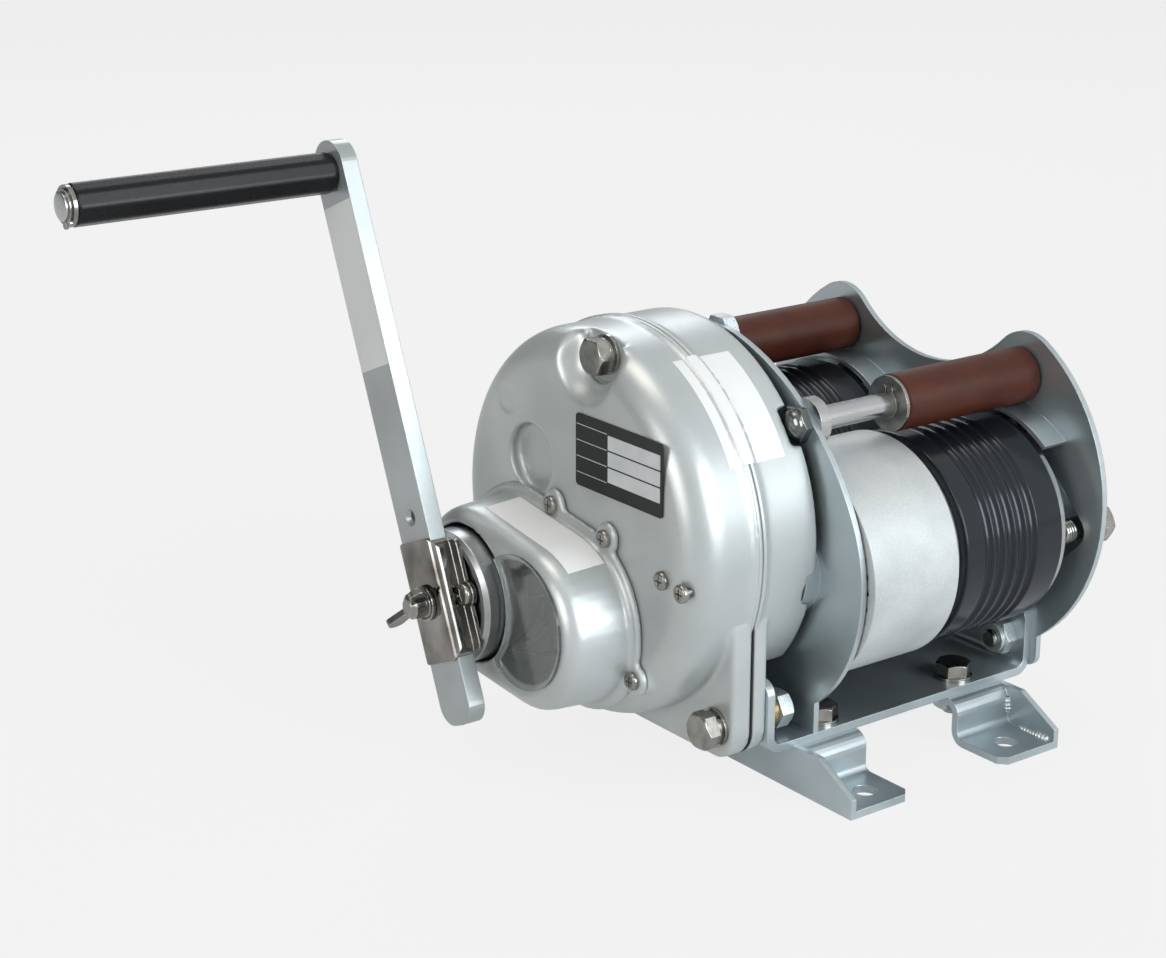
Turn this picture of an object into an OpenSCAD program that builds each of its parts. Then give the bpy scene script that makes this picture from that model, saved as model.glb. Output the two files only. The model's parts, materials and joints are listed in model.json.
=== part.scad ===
/* [Base channel] */
// Length of the base channel along the drum axes
channel_length = 182.4; // [178:1:190]
// Width of the base channel across the drums
channel_width = 169; // [160:1:180]
// Sheet thickness of the base channel
channel_thickness = 4.5; // [3:0.1:6]
// Height of the two upstands above the underside of the channel
upstand_height = 38; // [34:1:40]
// Outer radius of the channel bends
channel_bend_radius = 9; // [6:0.5:12]
// Radius of the upper corners of the upstands
upstand_corner_radius = 8; // [3:0.5:14]

/* [Feet] */
// Height from the mounting surface to the underside of the channel
foot_height = 24; // [20:1:32]
// Sheet thickness of the feet
foot_thickness = 4; // [3:0.1:6]
// Distance of a foot's inner edge from the middle
foot_inner_x = 32; // [20:1:38]
// Distance of a foot's outer face from the middle
foot_outer_x = 72; // [70:1:84]
// Thickness of the welded gusset on a foot's outer side
gusset_thickness = 3.2; // [2:0.1:5]
// Distance of a foot's end from the middle
foot_half_length = 125; // [120:1:140]
// Height of the gusset at a foot's end
gusset_nose_height = 10.4; // [6:0.2:16]
// Distance from the middle where the gusset reaches its full height
gusset_shoulder_y = 100.5; // [94:0.5:108]
// Distance of a foot's riser from the middle
riser_y = 92; // [88:0.5:96]
// Outer radius of the foot bends
foot_bend_radius = 8; // [5:0.5:10]
// Diameter of the mounting holes
foot_hole_diameter = 12; // [8:0.5:14]
// Distance of the mounting holes from the middle along the drums
foot_hole_x = 49; // [46:0.5:52]
// Distance of the mounting holes from the middle across the drums
foot_hole_y = 110; // [108:0.5:116]

/* [Side plates] */
// Sheet thickness of both side plates
plate_thickness = 3.2; // [2.5:0.1:4]
// Distance from the channel's left face to the left plate's left face
plate_inset = 30.5; // [30.5:0.1:32]
// Half of the left plate's straight foot
left_plate_foot = 84; // [80:0.5:84]
// Radius of the left plate's side bulges
left_bulge_radius = 82.9; // [78:0.5:88]
// Distance of the side bulges' centres from the middle
left_bulge_y = 31.8; // [26:0.2:36]
// Height of the side bulges' centres
left_bulge_z = 108.6; // [100:0.2:116]
// Radius of the left plate's shoulders
left_shoulder_radius = 137.5; // [132:0.5:145]
// Angle at which a side bulge runs into its shoulder
left_shoulder_angle = 24.9; // [20:0.1:28]
// Height of the centre of the left plate's crown
left_crown_z = 150; // [140:1:160]
// Half of the right plate's straight foot
right_plate_foot = 89; // [85:0.5:92]
// Radius of the right plate's side bulges
right_bulge_radius = 95.1; // [92:0.1:98]
// Distance of the right plate's bulge centres from the middle
right_bulge_y = 32.6; // [28:0.2:36]
// Height of the right plate's bulge centres
right_bulge_z = 122; // [118:0.5:126]
// Radius of the two horns that hold the tie rods
horn_radius = 22.9; // [18:0.1:26]
// Angle of the horns from the bulge centres
horn_angle = 59.1; // [55:0.1:63]
// Lowest height of the valley between the horns
valley_z = 178.4; // [172:0.2:184]
// Depth of the pressed pockets in the right plate
pocket_depth = 8; // [6:0.5:9]
// Distance from the drum axis to a pocket's corner arcs
pocket_reach = 45; // [44:0.1:46]
// Radius of a pocket's corners
pocket_corner_radius = 9.5; // [8.5:0.1:10]
// Inner radius of the guard rings round the drum ends
guard_radius = 57; // [56.5:0.1:57.2]
// Wall of the guard rings
guard_wall = 2.5; // [1.5:0.1:2.6]
// Length of the guard rings
guard_length = 15; // [8:0.5:15.5]
// Angle at which the guard rings end, either side of their tops
guard_end = 130; // [110:1:150]

/* [Drums] */
// Distance between the two drum axes
drum_spacing = 124; // [122:0.5:126]
// Height of the drum axes above the mounting surface
drum_z = 110; // [108:0.5:111]
// Diameter of the plain barrels
barrel_diameter = 115; // [113:0.5:116]
// Gap between the left plate and a barrel
barrel_gap = 1; // [0.6:0.1:2]
// Length of a plain barrel
barrel_length = 55.5; // [50:0.5:58]
// Diameter of the drum core under the sleeve
core_diameter = 100; // [96:0.5:102]
// Open width between a barrel and its sleeve
sleeve_gap = 7.8; // [4:0.1:9]
// Diameter of the grooved sleeves
sleeve_diameter = 111.6; // [108:0.2:112]
// Length of the grooved sleeves
sleeve_length = 67.2; // [64:0.1:68]
// Number of rope grooves in a sleeve
groove_count = 5; // [3:1:6]
// Distance from one rope groove to the next
groove_pitch = 7.7; // [6.5:0.1:8]
// Radius of a rope groove
groove_radius = 3.5; // [2:0.1:3.5]
// Distance from a sleeve's left end to its first groove
groove_start = 11.4; // [6:0.1:14]
// Diameter of the drum axles
axle_diameter = 25; // [20:0.5:26]
// Radius of the flange at an axle's right end
end_flange_radius = 54; // [52:0.5:55]
// Thickness of that flange
end_flange_thickness = 4; // [3:0.1:5]

/* [Rollers and tie rods] */
// Diameter of the rope guard rollers
roller_diameter = 29; // [24:0.2:29]
// Distance between the two roller axes
roller_spacing = 135; // [135:0.2:139]
// Height of the roller axes
roller_z = 184.3; // [184:0.1:186]
// Length of the short front roller
front_roller_length = 91.3; // [60:0.1:120]
// Gap between a roller's right end and the right plate
roller_end_gap = 0.9; // [0.5:0.1:3]
// Diameter of the tie rods
rod_diameter = 12; // [11:0.1:14]
// Radius of the collar that seats a rod on the left plate
rod_collar_radius = 12; // [9:0.5:13]
// Length of that collar
rod_collar_length = 6.5; // [3:0.1:9]

/* [Gear case] */
// Radius of the round gear case
case_radius = 98.5; // [97:0.5:99.5]
// Sideways place of the case's centre
case_y = 11.3; // [9:0.1:13]
// Height of the case's centre
case_z = 126.6; // [125:0.1:128]
// Depth of the front half
case_front_depth = 40.2; // [40.2:0.1:44]
// Depth of the rear half
case_rear_depth = 29.5; // [29:0.1:30]
// How far the rear half's edge runs past its back wall
rear_lip_length = 6.3; // [4:0.1:6.5]
// Thickness of the rear half's skirt against the channel
skirt_rear_thickness = 8.8; // [8.8:0.1:12]
// Thickness of the front half's skirt
skirt_front_thickness = 12.2; // [8:0.1:14]
// Half of the skirt's width
skirt_half_width = 82.7; // [80:0.1:86]
// Radius of the skirt's lower corners
skirt_corner_radius = 14; // [8:0.5:16]
// Wall of the case halves
case_wall = 4.5; // [3.5:0.1:4.6]
// Radius of the front half's rounded rim
case_rim_radius = 18; // [10:0.5:20]
// Thickness of the gasket between the halves
gasket_thickness = 0.8; // [0.4:0.1:1.5]
// Distance from the case's rim down to the top bolt
top_bolt_inset = 10.6; // [10:0.1:12]
// Width of the nameplate
nameplate_width = 68; // [50:1:70]
// Height of the nameplate
nameplate_height = 36.5; // [24:0.5:40]

/* [Gears] */
// Tooth size of the two case stages
case_module = 2; // [1.9:0.05:2.05]
// Tooth size of the drum stage
ring_module = 2.5; // [2.4:0.05:2.55]
// Teeth of the input pinion
input_teeth = 12; // [11:1:13]
// Teeth of the middle gear
middle_teeth = 36; // [34:1:36]
// Teeth of the middle pinion
middle_pinion_teeth = 14; // [14:2:16]
// Teeth of the two output gears
output_teeth = 28; // [26:1:28]
// Teeth of the drum pinions
drum_pinion_teeth = 12; // [11:1:13]
// Teeth inside each drum
ring_teeth = 40; // [39:1:41]
// Metal taken off each tooth flank
flank_slack = 0.18; // [0.12:0.01:0.3]
// Direction from a drum axis to its pinion
output_angle = 27.6; // [26:0.1:29]
// Direction from the middle shaft to the crank shaft
crank_axis_angle = -10.4; // [-14:0.1:-8]

/* [Brake cover] */
// Depth of the brake cover
cover_depth = 38; // [38:0.1:42]
// Radius of the cover's flange round the crank axis
cover_crank_radius = 50; // [48:0.5:52]
// Radius of the cover's flange round its lobe
cover_lobe_radius = 48.4; // [44:0.2:50]
// Sideways place of the lobe
cover_lobe_y = 0; // [-4:0.5:4]
// Height of the lobe
cover_lobe_z = 84; // [80:0.5:88]
// Width of the flange left outside the cover's wall
cover_flange_width = 4.5; // [3:0.1:6]
// Thickness of the cover's flange
cover_flange_thickness = 3.4; // [3:0.1:8]
// Wall of the cover
cover_wall = 2.8; // [2:0.1:3.2]
// Radius of the cover's front edge
cover_edge_radius = 9; // [4:0.5:12]
// Number of teeth of the ratchet wheel
ratchet_teeth = 16; // [12:1:18]
// Radius of the round window in the cover
window_radius = 34; // [30:0.5:37]
// Height of the window's centre above the lobe's
window_rise = 4; // [0:0.5:5]
// Outer radius of the ratchet wheel
ratchet_radius = 37.5; // [36:0.1:38]
// Radius of the friction discs
friction_radius = 32; // [26:0.5:33]

/* [Crank] */
// Radius of the crank hub
hub_radius = 34; // [33:0.5:35]
// Reach of the hub in front of the cover
hub_reach = 10.5; // [8:0.5:14]
// Distance from the crank axis to the grip axis
crank_radius = 219; // [180:1:240]
// Reach of the crank bar past the crank axis
crank_tail = 63; // [50:1:70]
// Reach of the crank bar past the grip axis
crank_head = 16; // [13:0.5:20]
// Width of the crank bar
crank_width = 28; // [20:0.5:30]
// Thickness of the crank bar
crank_thickness = 9; // [8:0.5:10]
// Lean of the crank bar from upright
crank_lean = 22.6; // [0:0.2:45]
// Travel of the crank bar through its clamp
crank_travel = 43; // [30:1:45]
// Length of the clamp bracket along the bar
clamp_length = 62; // [50:1:70]
// Sheet thickness of the clamp bracket
clamp_sheet = 2.2; // [1.5:0.1:3]
// Width of the clamp bracket's flanges
clamp_flange = 6; // [4:0.5:8]
// Length of the grip
grip_length = 139; // [100:1:160]
// Width across the grip
grip_diameter = 21; // [19:0.5:32]
// Diameter of the spindle inside the grip
spindle_diameter = 14; // [8:0.5:16]

/* [Fasteners and fits] */
// Diameter of the frame bolts
bolt_diameter = 10; // [8:0.5:10.5]
// Width across flats of the frame bolts
bolt_flats = 17; // [15:0.5:17]
// Height of a bolt head
bolt_head = 7; // [5:0.1:7.4]
// Diameter of the housing bolts
housing_bolt_diameter = 12; // [8:0.5:12.5]
// Width across flats of the housing bolts
housing_bolt_flats = 18; // [15:0.5:19]
// Free play of a bolt in its hole, on the radius
hole_gap = 0.5; // [0.1:0.1:1]
// Play of a turning or sliding fit, on the radius
fit_gap = 0.05; // [0.02:0.01:0.1]
// Gap between neighbouring pieces that turn past each other
face_gap = 0.4; // [0.3:0.05:0.5]

/* [Hidden] */
$fn = 96;

zinc = "#c9d2d6";
paint = "#b7bcbd";
steel = "#9a9c9e";
slate = "#33373d";
brown = "#5a3a30";
black = "#1b1b1c";

// Base
end_x = channel_length / 2;
floor_z = foot_height + channel_thickness;
upstand_top = foot_height + upstand_height;
floor_bolt_x = foot_hole_x - 2;
floor_bolt_y = channel_width / 2 - 12;
plate_x = plate_inset - end_x;
plate_face = plate_x + plate_thickness;
lug_z = foot_height + 16.5;
lug_y = skirt_half_width - skirt_corner_radius + 1.3;
plate_bolt_y = channel_width / 2 - 14.5;
plate_bolt_z = foot_height + 18;
bolt_r = bolt_diameter / 2;
washer_r = bolt_diameter;
washer_t = 1.8;
spring_t = 2.5;
nut_t = 0.8 * bolt_diameter;
spacer_length = 9.7;

// Drums, from the left plate rightwards
drum_y = drum_spacing / 2;
barrel_r = barrel_diameter / 2;
core_r = core_diameter / 2;
sleeve_r = sleeve_diameter / 2;
axle_r = axle_diameter / 2;
barrel_x = plate_face + barrel_gap;
barrel_end = barrel_x + barrel_length;
sleeve_x = barrel_end + sleeve_gap;
sleeve_end = sleeve_x + sleeve_length;
ring_depth = 22.5;
web = 6;
hub_r = 20;
drum_bearing_r = axle_r + 8.5;
drum_bearing_w = 9;
bearing_seat_wall = 2.2;
pocket_floor = end_x + pocket_depth;
pocket_back = pocket_floor + plate_thickness;
housing_r = drum_bearing_r + 6;
housing_flange = 4;
housing_x = end_x - 5;
right_bearing_x = end_x - 3;
housing_bolt_r = housing_bolt_diameter / 2;
housing_washer_t = 1.5;

// Gear shafts as points across the drums
front_axis = [-drum_y, drum_z];
rear_axis = [drum_y, drum_z];
drum_mesh = ring_module * (ring_teeth - drum_pinion_teeth) / 2;
front_out = front_axis + drum_mesh * [cos(output_angle), sin(output_angle)];
rear_out = [-front_out[0], front_out[1]];
output_mesh = case_module * (middle_pinion_teeth + output_teeth) / 2;
middle_axis = [0, front_out[1] - sqrt(pow(output_mesh, 2) - pow(front_out[0], 2))];
input_mesh = case_module * (input_teeth + middle_teeth) / 2;
crank_axis = middle_axis + input_mesh * [cos(crank_axis_angle), sin(crank_axis_angle)];

// Places of the case and its shafts along the drums
parting_x = -end_x - skirt_rear_thickness;
case_front = parting_x - case_front_depth;
case_back = parting_x + case_rear_depth;
case_inner = case_front + case_wall;
front_half_x = parting_x - gasket_thickness / 2;
rear_half_x = parting_x + gasket_thickness / 2;
skirt_bottom = foot_height + 0.2;
shelf_z = upstand_top + 2;
shaft_r = 7.5;
case_bearing_r = 17.5;
case_bearing_w = 11;
boss_wall = 3.5;
front_bearing_x = case_front + 4.2;
front_boss_end = front_bearing_x + case_bearing_w;
first_stage_x = front_boss_end + 1;
first_stage_w = 9.5;
second_stage_x = first_stage_x + first_stage_w + 1.5;
second_stage_w = 14;
rear_boss_x = second_stage_x + second_stage_w + 1.5;
rear_bearing_end = case_back - 1;
top_floor_x = case_front + 15;
top_boss_r = 14;
top_bolt_z = case_z + case_radius - top_bolt_inset;
recess_at = [44.2, 153.8];
recess_r = 17.5;
recess_depth = 6;
mark_at = [64.9, 179.7];
mark_r = 7.6;
nameplate_at = [-63, 150.5];
nameplate_t = 0.8;
drum_pinion_x = barrel_x + 1.5;
drum_pinion_w = 18;

// Brake stack, from the case outwards
cover_front = case_front - cover_depth;
brake_disc_x = case_front - 11.8;
disc_t = 3;
ratchet_t = 6;
inner_friction_x = brake_disc_x - disc_t;
ratchet_x = inner_friction_x - face_gap - ratchet_t;
outer_friction_x = ratchet_x - face_gap - disc_t;
brake_collar_r = 12;
hub_front = cover_front - hub_reach;
hub_bore = hub_radius + 1.5;
lobe = [cover_lobe_y, cover_lobe_z];
tooth_depth = 4.2;
tooth_lead = 2.7;
ratchet_step = 360 / ratchet_teeth;
pawl_angle = 170;
pawl_lead = 22;
pawl_pivot_r = 50;
pawl_pin_r = 3;
pawl_boss_r = 6;
screw_r = 2;
screw_head_r = 4.6;
cover_screws = [
    crank_axis + 53.4 * [cos(119), sin(119)],
    lobe + 51 * [cos(115.5), sin(115.5)],
    lobe + 49.3 * [cos(204), sin(204)],
    crank_axis + 52 * [cos(-35), sin(-35)]
];
wall_screws = [[-62.9, 120], [-78, 118]];

// Crank, drawn upright about its own axis
bar_back = hub_front - 2;
bar_front = bar_back - crank_thickness;
clamp_front = bar_front - fit_gap - clamp_sheet;
hub_screw_r = 3;
hub_screw_head = 5.6;
hub_screw_y = crank_width / 2 + hub_screw_head + face_gap;
wing_r = 6.5;
wing_span = 19;
wing_way = 112;
bar_corner = 10.5;
clamp_bend = 4.5;
clamp_corner = 6;
clamp_ear = 6.8;
screw_room = 4.4;
grip_x = bar_front - 0.5 - grip_length;
grip_bore = spindle_diameter / 2 + fit_gap;
pin_dome = 0.8;

// Points of an arc about c from angle a to angle b
function arc(c, r, a, b, n = 16) =
    [for (i = [0:n]) c + r * [cos(a + (b - a) * i / n), sin(a + (b - a) * i / n)]];
function turned_point(c, r, a) = c + r * [cos(a), sin(a)];
function mirrored(points) = [for (i = [len(points) - 1:-1:0]) [-points[i][0], points[i][1]]];

// Outline of a belt round two circles
function belt(c1, r1, c2, r2) =
    let (d = c2 - c1, along = atan2(d[1], d[0]), side = acos((r1 - r2) / norm(d)))
    concat(arc(c2, r2, along - side, along + side, 24),
           arc(c1, r1, along + side, along + 360 - side, 24));

// Rectangle with round corners, from its lower left corner
function round_box(x, y, w, h, r) =
    concat(arc([x + r, y + r], r, 180, 270, 6), arc([x + w - r, y + r], r, 270, 360, 6),
           arc([x + w - r, y + h - r], r, 0, 90, 6), arc([x + r, y + h - r], r, 90, 180, 6));

// Involute tooth flanks: half of a tooth's angle at radius r
function involute(a) = tan(a) * 180 / PI - a;
function half_tooth(teeth, size, slack, r) =
    let (pitch = size * teeth / 2, base = pitch * cos(20), safe = max(r, base))
    90 / teeth + involute(20) - involute(acos(min(1, base / safe))) - slack / pitch * 180 / PI;
function gear_outline(teeth, size, tip, root, slack, turn) =
    let (pitch = size * teeth / 2,
         radii = [pitch - root, pitch - 0.45 * root, pitch, pitch + tip])
    [for (t = [0:teeth - 1], s = [0:7])
        let (r = radii[s < 4 ? s : 7 - s], half = half_tooth(teeth, size, slack, r))
        turned_point([0, 0], r, turn + 360 * t / teeth + (s < 4 ? -half : half))];

// Turn of a follower whose teeth fall into the leader's gaps
function outer_mesh(leader_turn, leader_teeth, follower_teeth, direction) =
    direction + 180
    + 360 / follower_teeth * (0.5 - (leader_turn - direction) * leader_teeth / 360);
function inner_mesh(ring_turn, ring_count, pinion_count, direction) =
    direction + (ring_turn - direction) * ring_count / pinion_count;

front_out_turn = inner_mesh(0, ring_teeth, drum_pinion_teeth, output_angle);
rear_out_turn = inner_mesh(0, ring_teeth, drum_pinion_teeth, 180 - output_angle);
front_gear_way = atan2(middle_axis[1] - front_out[1], middle_axis[0] - front_out[0]);
rear_gear_way = atan2(rear_out[1] - middle_axis[1], rear_out[0] - middle_axis[0]);
middle_pinion_turn = outer_mesh(0, output_teeth, middle_pinion_teeth, front_gear_way);
rear_gear_turn = outer_mesh(middle_pinion_turn, middle_pinion_teeth, output_teeth, rear_gear_way);
input_turn = outer_mesh(0, middle_teeth, input_teeth, crank_axis_angle);

// A flat drawing of y and z, drawn out along the drums from a to b
module across(a, b) {
    translate([a, 0, 0]) rotate([90, 0, 90]) linear_extrude(b - a) children();
}
// A round bar along the drums
module rod(a, b, p, r) {
    translate([a, p[0], p[1]]) rotate([0, 90, 0]) cylinder(h = b - a, r = r);
}
// A shape turned about an axis along the drums, drawn as radius and place
module turned(p) {
    translate([0, p[0], p[1]]) rotate([0, 90, 0]) rotate_extrude() children();
}
module band(r0, r1, a, b) {
    translate([r0, a]) square([r1 - r0, b - a]);
}
module both_y() {
    children();
    mirror([0, 1, 0]) children();
}
module hexagon(flats, height) {
    rotate([0, 0, 30]) cylinder(h = height, r = flats / 2 / cos(30), $fn = 6);
}
// Hexagon head with its round chamfer, lying on z = 0
module hex_head(flats, height) {
    intersection() {
        hexagon(flats, height);
        union() {
            cylinder(h = height - flats * 0.06, r = flats);
            translate([0, 0, height - flats * 0.06])
                cylinder(h = flats * 0.06 + 0.01, r1 = flats * 0.58, r2 = flats * 0.48);
        }
    }
}
// Bolt with its head above z = 0 and its shank below
module hex_bolt(r, flats, head, length) {
    hex_head(flats, head);
    translate([0, 0, 1 - length]) cylinder(h = length, r = r);
    translate([0, 0, -length]) cylinder(h = 1, r1 = r - 1, r2 = r);
}
module hex_nut(r, flats, height) {
    difference() {
        hex_head(flats, height);
        translate([0, 0, -1]) cylinder(h = height + 2, r = r);
    }
}
module ring_solid(r0, r1, height) {
    difference() {
        cylinder(h = height, r = r1);
        translate([0, 0, -1]) cylinder(h = height + 2, r = r0);
    }
}
// Pan head screw with a cross, head above z = 0
module pan_screw(r, head_r, length) {
    difference() {
        union() {
            rotate_extrude()
                polygon(concat([[0, 0]], arc([head_r - 1.4, 1.4], 1.4, 0, 90, 5), [[0, 2.8]],
                               [[0, 0]]));
            cylinder(h = 1.4, r = head_r);
            translate([0, 0, -length]) cylinder(h = length, r = r);
        }
        for (turn = [0, 90])
            rotate([0, 0, turn]) translate([-head_r * 0.55, -0.5, 1.6]) cube([head_r * 1.1, 1, 2]);
    }
}
// Placing pieces that point along the drums: out of the left or of the right face
module facing_left(x, p) {
    translate([x, p[0], p[1]]) rotate([0, -90, 0]) children();
}
module facing_right(x, p) {
    translate([x, p[0], p[1]]) rotate([0, 90, 0]) children();
}
module at_crank() {
    translate([0, crank_axis[0], crank_axis[1]]) rotate([-crank_lean, 0, 0]) children();
}

module channel_base() {
    r = channel_bend_radius;
    t = channel_thickness;
    low = [end_x - r, foot_height + r];
    half = concat([[end_x - t, upstand_top]], arc(low, r - t, 0, -90, 8));
    outer = concat(arc(low, r, -90, 0, 8), [[end_x, upstand_top]]);
    section = concat(half, mirrored(half), mirrored(outer), outer);
    w = channel_width / 2;
    c = upstand_corner_radius;
    color(zinc) difference() {
        intersection() {
            translate([0, w, 0]) rotate([90, 0, 0]) linear_extrude(channel_width) polygon(section);
            across(-end_x - 1, end_x + 1)
                polygon(concat([[-w, foot_height - 1], [w, foot_height - 1]],
                               arc([w - c, upstand_top - c], c, 0, 90, 8),
                               arc([c - w, upstand_top - c], c, 90, 180, 8)));
        }
        for (x = [-1, 1], y = [-1, 1])
            translate([x * floor_bolt_x, y * floor_bolt_y, foot_height - 1])
                cylinder(h = t + 2, r = bolt_r + hole_gap);
        for (y = [-1, 1]) {
            rod(-end_x - 1, t - end_x + 1, [y * lug_y, lug_z], bolt_r + hole_gap);
            rod(end_x - t - 1, end_x + 1, [y * plate_bolt_y, plate_bolt_z], bolt_r + hole_gap);
        }
    }
}

// A foot: bent bridge plate with a welded gusset along its outer side
module foot() {
    t = foot_thickness;
    r = foot_bend_radius;
    h = foot_height;
    inner_wall = riser_y - t;
    sweep_y = riser_y + r - t;
    half = concat([[foot_half_length, 0], [foot_half_length, t]],
                  arc([sweep_y, r], r - t, 270, 180, 6), arc([riser_y - r, h - r], r, 0, 90, 6));
    under = concat(arc([inner_wall - r + t, h - r], r - t, 90, 0, 6),
                   arc([sweep_y, r], r, 180, 270, 6));
    difference() {
        union() {
            across(foot_inner_x, foot_outer_x - gusset_thickness)
                polygon(concat(half, mirrored(half), mirrored(under), under));
            across(foot_outer_x - gusset_thickness, foot_outer_x)
                polygon([
                    [-foot_half_length, 0], [foot_half_length, 0],
                    [foot_half_length, gusset_nose_height], [gusset_shoulder_y, h],
                    [-gusset_shoulder_y, h], [-foot_half_length, gusset_nose_height]
                ]);
        }
        for (y = [-1, 1]) {
            translate([foot_hole_x, y * foot_hole_y, -1])
                cylinder(h = t + 2, r = foot_hole_diameter / 2);
            translate([floor_bolt_x, y * floor_bolt_y, h - t - 1])
                cylinder(h = t + 2, r = bolt_r + hole_gap);
            translate([foot_inner_x, y * foot_half_length, -1]) rotate([0, 0, -y * 45])
                cube([6, 6, 3 * t], center = true);
        }
    }
}
module foot_left() {
    color(zinc) mirror([1, 0, 0]) foot();
}
module foot_right() {
    color(zinc) foot();
}

// Left plate: straight foot, bulges, shoulders and crown, all running into one another
module left_side_plate() {
    bulge = [left_bulge_y, left_bulge_z];
    foot_drop = -acos((left_plate_foot - left_bulge_y) / left_bulge_radius);
    shoulder = turned_point(bulge, left_bulge_radius - left_shoulder_radius, left_shoulder_angle);
    crown = [0, left_crown_z];
    crown_way = atan2(crown[1] - shoulder[1], crown[0] - shoulder[0]);
    crown_radius = left_shoulder_radius - norm(crown - shoulder);
    side = concat([[left_plate_foot, floor_z]],
                  arc(bulge, left_bulge_radius, foot_drop, left_shoulder_angle, 20),
                  arc(shoulder, left_shoulder_radius, left_shoulder_angle, crown_way, 16),
                  arc(crown, crown_radius, crown_way, 90, 6));
    color(zinc) difference() {
        union() {
            across(plate_x, plate_face) polygon(concat(side, mirrored(side)));
            for (p = [front_axis, rear_axis])
                rod(plate_x - drum_bearing_w, plate_x + 1, p, drum_bearing_r + bearing_seat_wall);
        }
        for (p = [front_axis, rear_axis]) {
            rod(plate_x - drum_bearing_w - 1, plate_x, p, drum_bearing_r);
            rod(plate_x - 1, plate_face + 1, p, axle_r + 2.5);
        }
        for (p = [front_out, rear_out])
            rod(plate_x - 1, plate_face + 1, p, shaft_r + 2.5);
        for (y = [-1, 1])
            rod(plate_x - 1, plate_face + 1, [y * roller_spacing / 2, roller_z], bolt_r);
        rod(plate_x - 1, plate_face + 1, [0, top_bolt_z], bolt_r + hole_gap);
    }
}

// Right plate: bulges, horns and a valley, all running into one another
horn = [right_bulge_y, right_bulge_z]
    + (right_bulge_radius - horn_radius) * [cos(horn_angle), sin(horn_angle)];
horn_rise = horn[1] - valley_z;
valley_radius = (pow(horn[0], 2) + pow(horn_rise, 2) - pow(horn_radius, 2))
    / (2 * (horn_radius + horn_rise));
valley = [0, valley_z + valley_radius];
function pocket_outline(p, r) =
    [for (q = [0:3], v = arc(turned_point(p, pocket_reach, 90 * q), r, 90 * q - 45, 90 * q + 45, 6)) v];

module right_side_plate() {
    foot_drop = -acos((right_plate_foot - right_bulge_y) / right_bulge_radius);
    valley_way = atan2(valley[1] - horn[1], valley[0] - horn[0]);
    side = concat(arc([right_plate_foot - 6, foot_height + 10], 6, -90, 0, 6),
                  arc([right_bulge_y, right_bulge_z], right_bulge_radius, foot_drop, horn_angle, 24),
                  arc(horn, horn_radius, horn_angle, valley_way, 12),
                  arc(valley, valley_radius, valley_way - 180, -90, 12));
    t = plate_thickness;
    color(zinc) difference() {
        union() {
            across(end_x, end_x + t) polygon(concat(side, mirrored(side)));
            for (p = [front_axis, rear_axis]) {
                across(end_x, pocket_back) polygon(pocket_outline(p, pocket_corner_radius + t));
                difference() {
                    rod(end_x - guard_length, end_x + 0.1, p, guard_radius + guard_wall);
                    rod(end_x - guard_length - 1, end_x + 0.2, p, guard_radius);
                    across(end_x - guard_length - 1, end_x)
                        polygon(concat([p], [for (k = [0:14])
                            turned_point(p, 90, guard_end + k * (540 - 2 * guard_end) / 14)]));
                }
            }
        }
        for (p = [front_axis, rear_axis]) {
            across(end_x - 1, pocket_floor) polygon(pocket_outline(p, pocket_corner_radius));
            rod(end_x - 1, pocket_back + 1, p, housing_r);
            for (q = [0:3])
                rod(pocket_floor - 1, pocket_back + 1, turned_point(p, pocket_reach, 90 * q),
                    housing_bolt_r);
        }
        for (y = [-1, 1]) {
            rod(end_x - 1, end_x + t + 1, [y * plate_bolt_y, plate_bolt_z], bolt_r + hole_gap);
            rod(end_x - 1, end_x + t + 1, [y * roller_spacing / 2, roller_z], bolt_r);
        }
    }
}

module floor_bolts() {
    length = channel_thickness + foot_thickness + washer_t + nut_t + 3;
    color(steel) for (x = [-1, 1], y = [-1, 1])
        translate([x * floor_bolt_x, y * floor_bolt_y, floor_z + washer_t])
            hex_bolt(bolt_r, bolt_flats, bolt_head, length);
}
lug_seat = front_half_x + gasket_thickness / 2 - skirt_front_thickness;
module lug_bolts() {
    inside = channel_thickness - end_x + spacer_length + nut_t + 3;
    color(steel) both_y() facing_left(lug_seat - washer_t - spring_t, [lug_y, lug_z])
        hex_bolt(bolt_r, bolt_flats, bolt_head, inside - lug_seat + washer_t + spring_t);
}
module top_bolt() {
    seat = top_floor_x - washer_t - spring_t;
    color(steel) facing_left(seat, [0, top_bolt_z])
        hex_bolt(bolt_r, bolt_flats, bolt_head, plate_face + nut_t + 3 - seat);
}
module plate_bolts() {
    inside = channel_thickness + plate_thickness + bolt_diameter + 2;
    color(steel) both_y() facing_right(end_x + plate_thickness, [plate_bolt_y, plate_bolt_z])
        hex_bolt(bolt_r, bolt_flats, bolt_head, inside);
}
module flat_washers() {
    color(steel) {
        for (x = [-1, 1], y = [-1, 1])
            translate([x * floor_bolt_x, y * floor_bolt_y, floor_z])
                ring_solid(bolt_r, washer_r, washer_t);
        both_y() facing_left(lug_seat, [lug_y, lug_z]) ring_solid(bolt_r, washer_r, washer_t);
        facing_left(top_floor_x, [0, top_bolt_z]) ring_solid(bolt_r, washer_r, washer_t);
    }
}
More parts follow.
